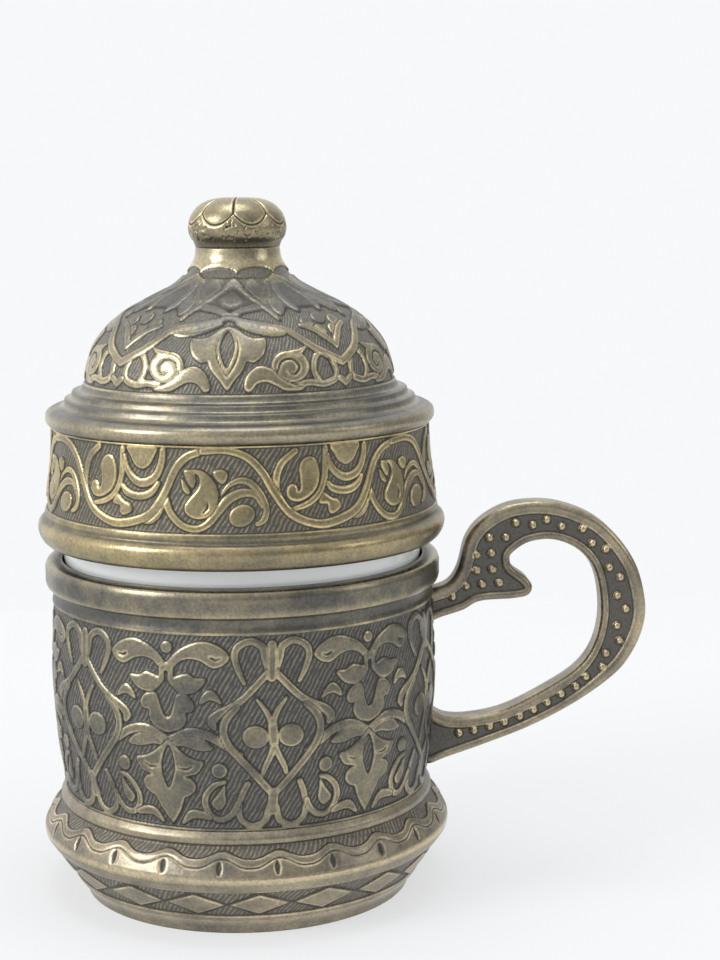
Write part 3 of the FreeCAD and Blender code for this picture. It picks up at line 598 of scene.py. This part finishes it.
def footRuns():
    return [
        (2, [(23.62, 0.02, 0.1), (25.8, 0.0, 0.3)]),
        (8, [(25.8, 0.0, 0.4), (26.3, 1.2, 0.45), (27.3, 2.4, 1.0)]),
        (40, [(27.3, 2.4, 0.6), (29.8, 6.1, 0.5), (32.18, 9.6, 0.5)]),
        # the narrow wear peak on the ridge's widest point is partly polish and partly a painted highlight line
        (12, [(32.18, 9.6, 0.6), (32.29, 10.3, 1.5), (32.15, 11.0, 0.5)]),
        (30, [(32.15, 11.0, 0.4), (31.0, 13.2, 0.4), (29.4, 14.7, 0.4)]),
        (10, [(29.4, 14.7, 0.0), (29.52, 15.2, 0.55), (29.5, 15.9, 0.5), (28.9, 16.8, 0.5)]),
        (2, [(28.9, 16.8, 0.1), (28.26, 16.8, 0.0)]),
        (1, [(28.26, 16.8, 0.0), (28.26, 13.85, 0.0)]),
        (2, [(28.26, 13.85, 0.0), (30.0, 11.6, 0.0)]),
        (1, [(30.0, 11.6, 0.0), (30.0, 10.0, 0.0)]),
        (2, [(30.0, 10.0, 0.0), (24.7, 4.4, 0.0)]),
        (1, [(24.7, 4.4, 0.0), (24.7, 2.8, 0.0)]),
        (1, [(24.7, 2.8, 0.0), (23.6, 2.8, 0.1)]),
        (2, [(23.6, 2.8, 0.1), (23.62, 0.02, 0.1)]),
    ]


footPiece = turnedPiece("lozengeFoot", footRuns(), footLook, footPattern(footOfRun(footRuns(), 1)))
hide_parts("holder_foot")
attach(footPiece, "holder")
print("foot", len(footPiece.data.polygons), "faces")


# Knob: eight petals over a plain pitted band
knobLook = {"columns": 320, "depth": 0.32, "petals": 8, "turn": -5.0, "petalFoot": 104.9, "petalFork": 1.8,
            "cut": 0.17, "pitsFrom": 102.4}


def knobPattern(turn, along, line):
    # petal = the smaller of the distance from the cut beside it and the height above its rounded
    # end; a narrow cut follows that outline, and the pitted band below it stands up again
    look = knobLook
    half = math.pi / look["petals"]
    share = foldedAt(turn, look["turn"], math.degrees(2 * half), 1.0) / half
    radius = np.maximum(line[:, 0][:, None], 0.2)
    height = line[:, 1][:, None] + 0 * turn
    lift = height - look["petalFoot"] - look["petalFork"] * (1 - share) ** 2
    petal = np.minimum(share * radius * half - look["cut"], lift)
    below = -lift - 2 * look["cut"]
    speck = np.random.default_rng(8).random(turn.shape)
    for axis in (0, 1):
        speck = (np.roll(speck, 1, axis) + speck + np.roll(speck, -1, axis)) / 3
    pits = np.where(speck < 0.4, -0.1, plain)
    relief = np.maximum(petal, np.minimum(below, np.where(lift < -0.6, pits, plain)))
    outer = (np.arange(len(line)) > 1)[:, None] & (height > look["pitsFrom"])
    return np.where(outer, np.clip(relief, -plain, plain), plain)


def knobRuns():
    up = [(6.5, 101.2, 0.1), (6.8, 102.04, 0.1), (7.35, 102.87, 0.45), (7.6, 103.94, 0.75), (7.5, 105.0, 0.7),
          (7.15, 106.06, 0.7), (6.45, 107.05, 0.8), (5.3, 107.96, 0.75), (3.3, 108.61, 0.65), (0.0, 108.8, 0.6)]
    return [
        (2, [(0.0, 105.85, 0.0), (1.55, 105.85, 0.0)]),
        (2, [(1.55, 105.85, 0.0), (1.55, 101.2, 0.0)]),
        (3, [(1.55, 101.2, 0.0), (6.5, 101.2, 0.1)]),
        (68, up),
    ]


knobPiece = turnedPiece("petalKnob", knobRuns(), knobLook, knobPattern, closed=False)
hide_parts("knob")
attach(knobPiece, "lid")
print("knob", len(knobPiece.data.polygons), "faces")


# Handle: a flat cast loop; its field is sunk between two raised borders and carries beads
handleLook = {"halfThickness": 2.3, "sink": 0.45, "beadRadius": 0.68, "beadStep": 2.55, "beadStart": 1.7,
              "stations": 660, "rows": 40}
handleBack = [(29.0, 46.7), (30.3, 47.0), (32.6, 48.0), (34.1, 50.4), (35.3, 54.8), (37.6, 57.8), (41.7, 60.1),
              (46.7, 60.75), (51.4, 60.0), (56.2, 57.8), (60.0, 54.2), (62.8, 49.6), (64.13, 44.0), (63.85, 40.0),
              (62.1, 35.8), (59.2, 32.2), (53.2, 27.9), (45.9, 24.1), (38.5, 21.3), (32.0, 19.1), (30.0, 18.3),
              (29.0, 18.1)]
handleInside = [(29.0, 41.2), (31.3, 42.2), (34.8, 43.3), (37.6, 44.7), (42.7, 45.0), (45.2, 45.5), (45.9, 46.9),
                (44.9, 48.5), (42.9, 50.0), (42.3, 51.2), (42.7, 52.4), (45.4, 54.1), (49.4, 54.4), (53.4, 52.6),
                (56.0, 49.0), (56.9, 43.0), (56.0, 37.8), (53.5, 33.9), (48.9, 30.7), (41.7, 27.1), (36.0, 25.9),
                (32.3, 26.0), (30.2, 27.0), (29.0, 28.2)]
acrossPairs = [(0, 0), (2, 3), (3, 6), (4, 9), (6, 11), (8, 12), (10, 14), (12, 15), (15, 17), (17, 19), (21, 23)]
headBeads = [(33.1, 45.6), (35.3, 47.3), (37.8, 47.5), (40.5, 47.7), (36.9, 49.8), (39.4, 49.9), (36.9, 52.3),
             (39.3, 52.5), (39.0, 55.0), (41.6, 55.0), (43.2, 57.3), (45.9, 56.9), (48.1, 57.7), (50.5, 56.6)]


def lengthOf(line):
    # way along the line to each of its points
    return np.concatenate([[0], np.cumsum(np.hypot(*np.diff(line[:, :2], axis=0).T))])


def handlePiece():
    # point = back(s) + (inside(s) - back(s)) * t in the XZ plane, and half the thickness less the
    # relief along Y
    steps = 12
    back, inside = curveThrough(handleBack, steps), curveThrough(handleInside, steps)
    backLength, insideLength = lengthOf(back), lengthOf(inside)
    backAt = np.array([backLength[pair[0] * steps] for pair in acrossPairs])
    insideAt = np.array([insideLength[pair[1] * steps] for pair in acrossPairs])
    middle = np.concatenate([[0], np.cumsum(np.diff(backAt) + np.diff(insideAt))])
    even = np.linspace(0, middle[-1], handleLook["stations"])
    backPlace, insidePlace = np.interp(even, middle, backAt), np.interp(even, middle, insideAt)
    outer = np.stack([np.interp(backPlace, backLength, back[:, part]) for part in (0, 1)], 1)
    inner = np.stack([np.interp(insidePlace, insideLength, inside[:, part]) for part in (0, 1)], 1)
    u = np.linspace(0, 1, handleLook["rows"])
    share = 0.5 * u + 0.5 * (0.5 - 0.5 * np.cos(math.pi * u))
    flat = outer[:, None, :] * (1 - share[None, :, None]) + inner[:, None, :] * share[None, :, None]
    toBack, _ = nearestOn(back[::2], flat[:, :, 0], flat[:, :, 1])
    toInside, _ = nearestOn(inside[::2], flat[:, :, 0], flat[:, :, 1])
    way = (even / even[-1])[:, None]
    lowerArm = smoothStep(0.62, 0.78, way)
    outerBorder = 2.0 * (1 - lowerArm) + 1.3 * lowerArm
    innerBorder = 1.25 * (1 - lowerArm) + 1.7 * lowerArm
    relief = np.maximum(outerBorder - toBack, innerBorder - toInside)
    edge = np.minimum(toBack, toInside)
    centre = (flat[:, :1, :] * 0.5 + flat[:, -1:, :] * 0.5)[:, 0]
    along = lengthOf(centre)
    first = np.searchsorted(way[:, 0], 0.36)
    beads = []
    places = np.arange(along[first] + handleLook["beadStart"], along[-1] - 4.0, handleLook["beadStep"])
    for number, place in enumerate(places):
        station = np.searchsorted(along, place)
        zig = (-0.08 if number % 2 else 0.08) * (1 - lowerArm[station, 0])
        beads.append(outer[station] * (0.47 + zig) + inner[station] * (0.53 - zig))
    beads = headBeads + [tuple(bead) for bead in beads]
    toBead = np.full(toBack.shape, farOff)
    for bx, by in beads:
        toBead = np.minimum(toBead, np.hypot(flat[:, :, 0] - bx, flat[:, :, 1] - by))
    bead = handleLook["beadRadius"]
    half = handleLook["halfThickness"]
    sunk = handleLook["sink"] * (1 - smoothStep(-0.3, 0.35, relief))
    crown = 0.25 * (1 - np.sqrt(np.clip(1 - (1 - np.clip(relief, 0, 0.9) / 0.9) ** 2, 0, 1)))
    rim = 1.0 - np.sqrt(np.clip(1 - (1 - np.clip(edge, 0, 1.0)) ** 2, 0, 1))
    height = half - np.maximum(sunk, crown * (relief > 0)) - 0.95 * rim
    dome = half - handleLook["sink"] + 1.05 * np.sqrt(np.clip(bead ** 2 - toBead ** 2, 0, None))
    height = np.where(toBead < bead, np.maximum(height, dome), height)
    relief = np.maximum(relief, (bead - toBead) * 1.2)
    front = np.stack([flat[:, :, 0], -height, flat[:, :, 1]], 2)
    rear = np.stack([flat[:, :, 0], height, flat[:, :, 1]], 2)
    walls = 4
    bridge = np.linspace(0, 1, walls + 2)[1:-1][None, :, None]
    insideWall = front[:, -1:, :] * (1 - bridge) + rear[:, -1:, :] * bridge
    outsideWall = rear[:, :1, :] * (1 - bridge) + front[:, :1, :] * bridge
    ring = np.concatenate([front, insideWall, rear[:, ::-1], outsideWall], 1)
    filler = np.full((len(even), walls), 0.6)
    reliefRing = np.concatenate([relief, filler, relief[:, ::-1], filler], 1)
    wearFace = np.where(toBead < bead, 1.3, 0.25 + 0.45 * np.clip(relief, 0, 1) ** 2)
    wearRing = np.concatenate([wearFace, filler * 0.5, wearFace[:, ::-1], filler * 0.5], 1)
    count, around = ring.shape[:2]
    start = np.arange(count - 1)[:, None] * around
    step = np.arange(around)[None, :]
    beside = (step + 1) % around
    quads = np.stack([start + step, start + beside, start + around + beside, start + around + step], 2)
    quads = quads.reshape(-1, 4)
    points = np.concatenate([ring.reshape(-1, 3), ring[0].mean(0)[None], ring[-1].mean(0)[None]])
    hubs = len(points) - 2
    last = (count - 1) * around
    firstCap = np.stack([np.full(around, hubs), beside[0], step[0]], 1)
    lastCap = np.stack([np.full(around, hubs + 1), last + step[0], last + beside[0]], 1)
    quads = quads[:, ::-1]
    firstCap, lastCap = firstCap[:, ::-1], lastCap[:, ::-1]
    faces = [quads, firstCap, lastCap]
    corners = [points[part][:, :, [0, 2]] for part in faces]
    values = {"relief": np.append(np.clip(reliefRing, -plain, plain).ravel(), [plain, plain]),
              "wearsheen": np.append(wearRing.ravel(), [0.3, 0.3])}
    return buildMesh("beadedHandle", points, faces, corners, values)


handleMesh = handlePiece()
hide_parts("handle")
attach(handleMesh, "holder")
print("handle", len(handleMesh.data.polygons), "faces")


# Materials. Effects that several of them share are node groups that put out colour, masks and height.

def addNode(tree, kind, **settings):
    made = tree.nodes.new(kind)
    for label, value in settings.items():
        setattr(made, label, value)
    return made


def feed(tree, target, source):
    # source is another node's output socket, or a plain value
    if hasattr(source, "is_linked"):
        tree.links.new(source, target)
    else:
        target.default_value = source


def maths(tree, operation, first, second=None):
    made = addNode(tree, "ShaderNodeMath", operation=operation)
    for socket, source in zip(made.inputs, (first, second)):
        if source is not None:
            feed(tree, socket, source)
    return made.outputs[0]


def times(tree, first, second):
    return maths(tree, "MULTIPLY", first, second)


def plus(tree, first, second):
    return maths(tree, "ADD", first, second)


def span(tree, value, low, high, first=0.0, last=1.0, smooth=True):
    made = addNode(tree, "ShaderNodeMapRange", interpolation_type="SMOOTHSTEP" if smooth else "LINEAR")
    feed(tree, made.inputs["Value"], value)
    for label, number in (("From Min", low), ("From Max", high), ("To Min", first), ("To Max", last)):
        made.inputs[label].default_value = number
    return made.outputs["Result"]


def blendColour(tree, share, first, second, mode="MIX"):
    # inputs 6 and 7 and output 2 are the mix node's colours
    made = addNode(tree, "ShaderNodeMix", data_type="RGBA", blend_type=mode)
    feed(tree, made.inputs["Factor"], share)
    feed(tree, made.inputs[6], first)
    feed(tree, made.inputs[7], second)
    return made.outputs[2]


def noise(tree, place, scale, detail=3.0, rough=0.55):
    made = addNode(tree, "ShaderNodeTexNoise")
    tree.links.new(place, made.inputs["Vector"])
    made.inputs["Scale"].default_value = scale
    made.inputs["Detail"].default_value = detail
    made.inputs["Roughness"].default_value = rough
    return made.outputs["Fac"]


def newGroup(name, inputs, outputs):
    tree = bpy.data.node_groups.new(name, "ShaderNodeTree")
    for label, kind, value in inputs:
        socket = tree.interface.new_socket(label, in_out="INPUT", socket_type=kind)
        socket.default_value = value
    for label, kind in outputs:
        tree.interface.new_socket(label, in_out="OUTPUT", socket_type=kind)
    return tree, addNode(tree, "NodeGroupInput"), addNode(tree, "NodeGroupOutput")


def hatchGroup():
    # slanting graver's lines, from the piece's own map in mm: sine of the distance across them
    inputs = [("Pitch", "NodeSocketFloat", 0.75), ("Slant", "NodeSocketFloat", 0.55)]
    tree, given, out = newGroup("graverHatch", inputs, [("Lines", "NodeSocketFloat")])
    place = addNode(tree, "ShaderNodeUVMap", uv_map="inMillimetres")
    parts = addNode(tree, "ShaderNodeSeparateXYZ")
    tree.links.new(place.outputs[0], parts.inputs[0])
    wobble = noise(tree, place.outputs[0], 0.3, 2.0)
    tilted = times(tree, parts.outputs[1], given.outputs["Slant"])
    across = maths(tree, "SUBTRACT", parts.outputs[0], tilted)
    across = plus(tree, across, times(tree, wobble, 1.2))
    turns = times(tree, maths(tree, "DIVIDE", across, given.outputs["Pitch"]), 2 * math.pi)
    lines = span(tree, maths(tree, "SINE", turns), -0.1, 0.9)
    broken = span(tree, noise(tree, place.outputs[0], 0.9, 2.0), 0.3, 0.6, 0.25, 1.0)
    tree.links.new(times(tree, lines, broken), out.inputs["Lines"])
    return tree


def brassGroup():
    # patina in the sunk ground, worn brass on what stands proud, brightest along its edges from wear and a
    # painted highlight
    tree, given, out = newGroup(
        "agedBrass",
        [("Relief", "NodeSocketFloat", 1.0), ("Wearsheen", "NodeSocketFloat", 0.5), ("Hatch", "NodeSocketFloat", 0.5),
         ("Ground", "NodeSocketColor", (0.13, 0.12, 0.1, 1)), ("Dull", "NodeSocketColor", (0.26, 0.22, 0.14, 1)),
         ("Bright", "NodeSocketColor", (0.6, 0.5, 0.28, 1)), ("Grain", "NodeSocketFloat", 1.0)],
        [("Colour", "NodeSocketColor"), ("Roughness", "NodeSocketFloat"), ("Metallic", "NodeSocketFloat"),
         ("Height", "NodeSocketFloat")])
    place = addNode(tree, "ShaderNodeTexCoord").outputs["Object"]
    broad = noise(tree, place, 90.0, 3.0)
    medium = noise(tree, place, 420.0, 4.0, 0.6)
    fine = noise(tree, place, 2200.0, 3.0, 0.65)
    relief = given.outputs["Relief"]
    raised = span(tree, relief, -0.16, 0.06)
    mottle = plus(tree, times(tree, maths(tree, "SUBTRACT", broad, 0.5), 1.8),
                   times(tree, maths(tree, "SUBTRACT", medium, 0.5), 1.0))
    # worn: the piece's wear plus mottle; where the profiles put a painted highlight it carries that too
    worn = plus(tree, given.outputs["Wearsheen"], mottle)
    # edge: a narrow band just inside each raised outline, a painted highlight that is patchy and stronger where
    # worn
    edge = times(tree, span(tree, relief, 0.0, 0.08), span(tree, relief, 0.12, 0.42, 1.0, 0.0))
    patchy = span(tree, noise(tree, place, 150.0, 2.0), 0.36, 0.62, 0.1, 0.8)
    edge = times(tree, edge, times(tree, patchy, span(tree, worn, 0.0, 0.8, 0.4, 1.0)))
    share = plus(tree, span(tree, worn, 0.05, 1.5, 0.0, 0.8, smooth=False), edge)
    top = blendColour(tree, share, given.outputs["Dull"], given.outputs["Bright"])
    # the hatch ridges in the sunk ground are lifted toward brass: partly rubbed metal, partly a painted highlight
    rubAndGlint = times(tree, given.outputs["Hatch"], span(tree, relief, -0.35, -0.15, 1.0, 0.0))
    rubbedGlint = blendColour(tree, 0.5, given.outputs["Dull"], given.outputs["Bright"])
    ground = blendColour(tree, times(tree, rubAndGlint, 0.6), given.outputs["Ground"], rubbedGlint)
    ditch = times(tree, span(tree, relief, -0.26, -0.14), span(tree, relief, -0.1, 0.02, 1.0, 0.0))
    shade = maths(tree, "SUBTRACT", 1.0, times(tree, ditch, 0.5))
    shade = times(tree, shade, span(tree, fine, 0.3, 0.7, 0.8, 1.15))
    whole = blendColour(tree, raised, ground, top)
    whole = blendColour(tree, 1.0, whole, shade, "MULTIPLY")
    tree.links.new(whole, out.inputs["Colour"])
    rough = plus(tree, span(tree, raised, 0.0, 1.0, 0.55, 0.4), times(tree, worn, -0.14))
    rough = plus(tree, rough, times(tree, maths(tree, "SUBTRACT", medium, 0.5), 0.3))
    tree.links.new(maths(tree, "MAXIMUM", rough, 0.16), out.inputs["Roughness"])
    tree.links.new(span(tree, raised, 0.0, 1.0, 0.7, 0.95), out.inputs["Metallic"])
    lines = times(tree, times(tree, given.outputs["Hatch"], 0.6),
                  maths(tree, "SUBTRACT", 1.0, raised))
    grain = plus(tree, times(tree, fine, 0.25), times(tree, medium, 0.55))
    grain = times(tree, grain, given.outputs["Grain"])
    tree.links.new(plus(tree, lines, grain), out.inputs["Height"])
    return tree


hatchTree = hatchGroup()
brassTree = brassGroup()


def brassMaterial(name, look):
    material = bpy.data.materials.new(name)
    material.use_nodes = True
    tree = material.node_tree
    tree.nodes.clear()
    shader = addNode(tree, "ShaderNodeBsdfPrincipled")
    output = addNode(tree, "ShaderNodeOutputMaterial")
    tree.links.new(shader.outputs[0], output.inputs[0])
    brass = addNode(tree, "ShaderNodeGroup", node_tree=brassTree)
    for label in ("Ground", "Dull", "Bright", "Grain"):
        if label.lower() in look:
            brass.inputs[label].default_value = look[label.lower()]
    if look.get("shaped", True):
        # wear carries the polish and, at some edges and ridges, a painted highlight
        for label in ("relief", "wearsheen"):
            read = addNode(tree, "ShaderNodeAttribute", attribute_name=label)
            tree.links.new(read.outputs["Fac"], brass.inputs[label.capitalize()])
    else:
        brass.inputs["Wearsheen"].default_value = look.get("wearsheen", 0.3)
    if look.get("hatched", look.get("shaped", True)):
        hatch = addNode(tree, "ShaderNodeGroup", node_tree=hatchTree)
        tree.links.new(hatch.outputs["Lines"], brass.inputs["Hatch"])
    else:
        brass.inputs["Hatch"].default_value = 0.0
    bump = addNode(tree, "ShaderNodeBump")
    bump.inputs["Strength"].default_value = 0.6
    bump.inputs["Distance"].default_value = 0.00012
    tree.links.new(brass.outputs["Height"], bump.inputs["Height"])
    tree.links.new(bump.outputs["Normal"], shader.inputs["Normal"])
    tree.links.new(brass.outputs["Colour"], shader.inputs["Base Color"])
    tree.links.new(brass.outputs["Roughness"], shader.inputs["Roughness"])
    tree.links.new(brass.outputs["Metallic"], shader.inputs["Metallic"])
    return material


pieceColours = {
    "barrelBrass": {"ground": (0.085, 0.085, 0.084, 1), "dull": (0.12, 0.117, 0.107, 1),
                    "bright": (0.5, 0.43, 0.27, 1)},
    "skirtBrass": {"ground": (0.11, 0.106, 0.094, 1), "dull": (0.17, 0.154, 0.115, 1),
                   "bright": (0.66, 0.53, 0.27, 1)},
    "domeBrass": {"ground": (0.14, 0.136, 0.125, 1), "dull": (0.17, 0.164, 0.145, 1),
                  "bright": (0.64, 0.54, 0.33, 1)},
    # the foot's lighter colours are partly its own brass and partly a painted reflection of the lit floor on its
    # downward-facing cone
    "footBrass": {"ground": (0.14, 0.132, 0.116, 1), "dull": (0.19, 0.176, 0.146, 1),
                  "bright": (0.7, 0.58, 0.38, 1)},
    "knobBrass": {"ground": (0.08, 0.074, 0.06, 1), "dull": (0.16, 0.143, 0.103, 1),
                  "bright": (0.66, 0.56, 0.34, 1)},
    "handleBrass": {"ground": (0.13, 0.122, 0.108, 1), "dull": (0.16, 0.147, 0.124, 1),
                    "bright": (0.68, 0.57, 0.37, 1), "hatched": False},
}
for piece, name in ((barrelPiece, "barrelBrass"), (skirtPiece, "skirtBrass"), (domePiece, "domeBrass"),
                    (footPiece, "footBrass"), (knobPiece, "knobBrass"), (handleMesh, "handleBrass")):
    piece.data.materials.append(brassMaterial(name, pieceColours[name]))


def paintNode(node, material):
    # a carried-over piece keeps its mesh and takes the material in every slot
    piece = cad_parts[node]
    if not piece.material_slots:
        piece.data.materials.append(material)
    for place in piece.material_slots:
        place.material = material


def glazeMaterial():
    # white glaze: faint unevenness in colour and surface over a glossy coat
    material = bpy.data.materials.new("whiteGlaze")
    material.use_nodes = True
    tree = material.node_tree
    shader = tree.nodes["Principled BSDF"]
    place = addNode(tree, "ShaderNodeTexCoord").outputs["Object"]
    cloud = noise(tree, place, 60.0, 2.0)
    colour = blendColour(tree, cloud, (0.84, 0.87, 0.85, 1), (0.88, 0.91, 0.89, 1))
    tree.links.new(colour, shader.inputs["Base Color"])
    tree.links.new(span(tree, cloud, 0.0, 1.0, 0.12, 0.2), shader.inputs["Roughness"])
    bump = addNode(tree, "ShaderNodeBump")
    bump.inputs["Strength"].default_value = 0.08
    bump.inputs["Distance"].default_value = 0.0002
    tree.links.new(cloud, bump.inputs["Height"])
    tree.links.new(bump.outputs["Normal"], shader.inputs["Normal"])
    shader.inputs["Coat Weight"].default_value = 0.4
    return material


plainBrass = brassMaterial("plainBrass", {"shaped": False, "wearsheen": 0.35, "dull": (0.22, 0.18, 0.11, 1),
                                          "bright": (0.5, 0.42, 0.23, 1)})
rivetBrass = brassMaterial("rivetBrass", {"shaped": False, "wearsheen": 0.6, "dull": (0.22, 0.18, 0.11, 1),
                                          "bright": (0.55, 0.46, 0.25, 1)})
screwSteel = brassMaterial("screwSteel", {"shaped": False, "wearsheen": 0.5, "dull": (0.25, 0.25, 0.26, 1),
                                          "bright": (0.5, 0.5, 0.5, 1), "grain": 0.5})
paintNode("base_disc", plainBrass)
paintNode("knob_washer", plainBrass)
paintNode("handle_rivets", rivetBrass)
paintNode("knob_screw", screwSteel)
paintNode("porcelain_cup", glazeMaterial())
print("materials done")


# Floor, backdrop, light and camera
studio = {"farEdge": 0.2015, "reach": 1.6, "floorColour": (0.9, 0.905, 0.915, 1), "glow": 0.95,
          "glowShare": 0.6}
lamps = {
    "windowLeft": {"place": (-0.78, -0.4, 0.5), "target": (0, 0, 0.06), "size": 0.4, "watts": 3.4},
    "topSoft": {"place": (-0.05, 0.05, 1.1), "target": (0, 0, 0), "size": 0.5, "watts": 2.4},
    "rightFill": {"place": (0.8, -0.3, 0.4), "target": (0, 0, 0.05), "size": 0.35, "watts": 0.6},
}
room = {"brightSide": (-0.72, 0.42, 0.55), "lightRange": (1.0, 0.7), "mirrorRange": (0.34, 1.15), "seen": 0.955,
        "colour": (0.975, 0.985, 1.0, 1)}


def floorMaterial():
    # seen straight on or in a reflection, part of the paper's brightness is its own: it stays
    # pale there and keeps the object's shadow
    material = bpy.data.materials.new("floorPaper")
    material.use_nodes = True
    tree = material.node_tree
    shader = tree.nodes["Principled BSDF"]
    shader.inputs["Base Color"].default_value = studio["floorColour"]
    shader.inputs["Roughness"].default_value = 0.85
    shader.inputs["Specular IOR Level"].default_value = 0.0
    glow = addNode(tree, "ShaderNodeEmission")
    glow.inputs["Color"].default_value = room["colour"]
    glow.inputs["Strength"].default_value = studio["glow"]
    path = addNode(tree, "ShaderNodeLightPath")
    seen = maths(tree, "MAXIMUM", path.outputs["Is Camera Ray"], path.outputs["Is Glossy Ray"])
    seen = maths(tree, "MAXIMUM", seen, path.outputs["Is Transmission Ray"])
    both = addNode(tree, "ShaderNodeMixShader")
    tree.links.new(times(tree, seen, studio["glowShare"]), both.inputs[0])
    tree.links.new(shader.outputs[0], both.inputs[1])
    tree.links.new(glow.outputs[0], both.inputs[2])
    tree.links.new(both.outputs[0], tree.nodes["Material Output"].inputs[0])
    return material


def buildFloor():
    # a flat sheet whose far edge is the soft line behind the object
    reach, edge = studio["reach"], studio["farEdge"]
    mesh = bpy.data.meshes.new("floorSheet")
    corners = [(-reach, -reach, 0), (reach, -reach, 0), (reach, edge, 0), (-reach, edge, 0)]
    mesh.from_pydata(corners, [], [(0, 1, 2, 3)])
    sheet = bpy.data.objects.new("floorSheet", mesh)
    bpy.context.scene.collection.objects.link(sheet)
    mesh.materials.append(floorMaterial())


buildFloor()


def addLamp(name, place, target, size, watts):
    lamp = bpy.data.lights.new(name, "AREA")
    lamp.size = size
    lamp.energy = watts
    holder = bpy.data.objects.new(name, lamp)
    bpy.context.scene.collection.objects.link(holder)
    holder.location = place
    holder.rotation_euler = (Vector(target) - Vector(place)).to_track_quat("-Z", "Y").to_euler()


for lampName, lampLook in lamps.items():
    addLamp(lampName, lampLook["place"], lampLook["target"], lampLook["size"], lampLook["watts"])


def buildWorld():
    # Seen straight on, the room is white. As light and in reflections its strength goes by
    # direction: dim at the front right, bright at the back, the left and above.
    world = bpy.data.worlds.new("paleRoom")
    bpy.context.scene.world = world
    world.use_nodes = True
    tree = world.node_tree
    tree.nodes.clear()
    way = addNode(tree, "ShaderNodeTexCoord").outputs["Generated"]
    lean = addNode(tree, "ShaderNodeVectorMath", operation="DOT_PRODUCT")
    tree.links.new(way, lean.inputs[0])
    lean.inputs[1].default_value = room["brightSide"]
    side = lean.outputs["Value"]
    path = addNode(tree, "ShaderNodeLightPath")
    asLight = span(tree, side, -0.8, 0.8, *room["lightRange"])
    mirrored = span(tree, side, -0.75, 0.7, *room["mirrorRange"])
    glossy = path.outputs["Is Glossy Ray"]
    strength = plus(tree, times(tree, mirrored, glossy),
                     times(tree, asLight, maths(tree, "SUBTRACT", 1.0, glossy)))
    straight = maths(tree, "MAXIMUM", path.outputs["Is Camera Ray"], path.outputs["Is Transmission Ray"])
    strength = maths(tree, "MAXIMUM", strength, times(tree, straight, room["seen"]))
    background = addNode(tree, "ShaderNodeBackground")
    background.inputs["Color"].default_value = room["colour"]
    tree.links.new(strength, background.inputs["Strength"])
    worldOut = addNode(tree, "ShaderNodeOutputWorld")
    tree.links.new(background.outputs[0], worldOut.inputs[0])


buildWorld()

cameraLook = {"place": (0.0, -0.3152456, 0.1135711), "aside": 0.0590801, "down": 0.15473,
              "roll": 0.0086, "lens": 75.86}


def buildCamera():
    aside, down, roll = cameraLook["aside"], cameraLook["down"], cameraLook["roll"]
    forward = Vector((math.sin(aside) * math.cos(down), math.cos(aside) * math.cos(down), -math.sin(down)))
    right0 = Vector((math.cos(aside), -math.sin(aside), 0))
    down0 = forward.cross(right0)
    right = right0 * math.cos(roll) + down0 * math.sin(roll)
    below = -right0 * math.sin(roll) + down0 * math.cos(roll)
    data = bpy.data.cameras.new("viewCamera")
    data.lens = cameraLook["lens"]
    data.sensor_width = 36
    data.sensor_fit = "AUTO"
    data.clip_start, data.clip_end = 0.01, 20
    camera = bpy.data.objects.new("viewCamera", data)
    turnMatrix = Matrix((right, -below, -forward)).transposed().to_4x4()
    camera.matrix_world = Matrix.Translation(Vector(cameraLook["place"])) @ turnMatrix
    bpy.context.scene.collection.objects.link(camera)
    bpy.context.scene.camera = camera


buildCamera()
bpy.context.scene.view_settings.view_transform = "Standard"
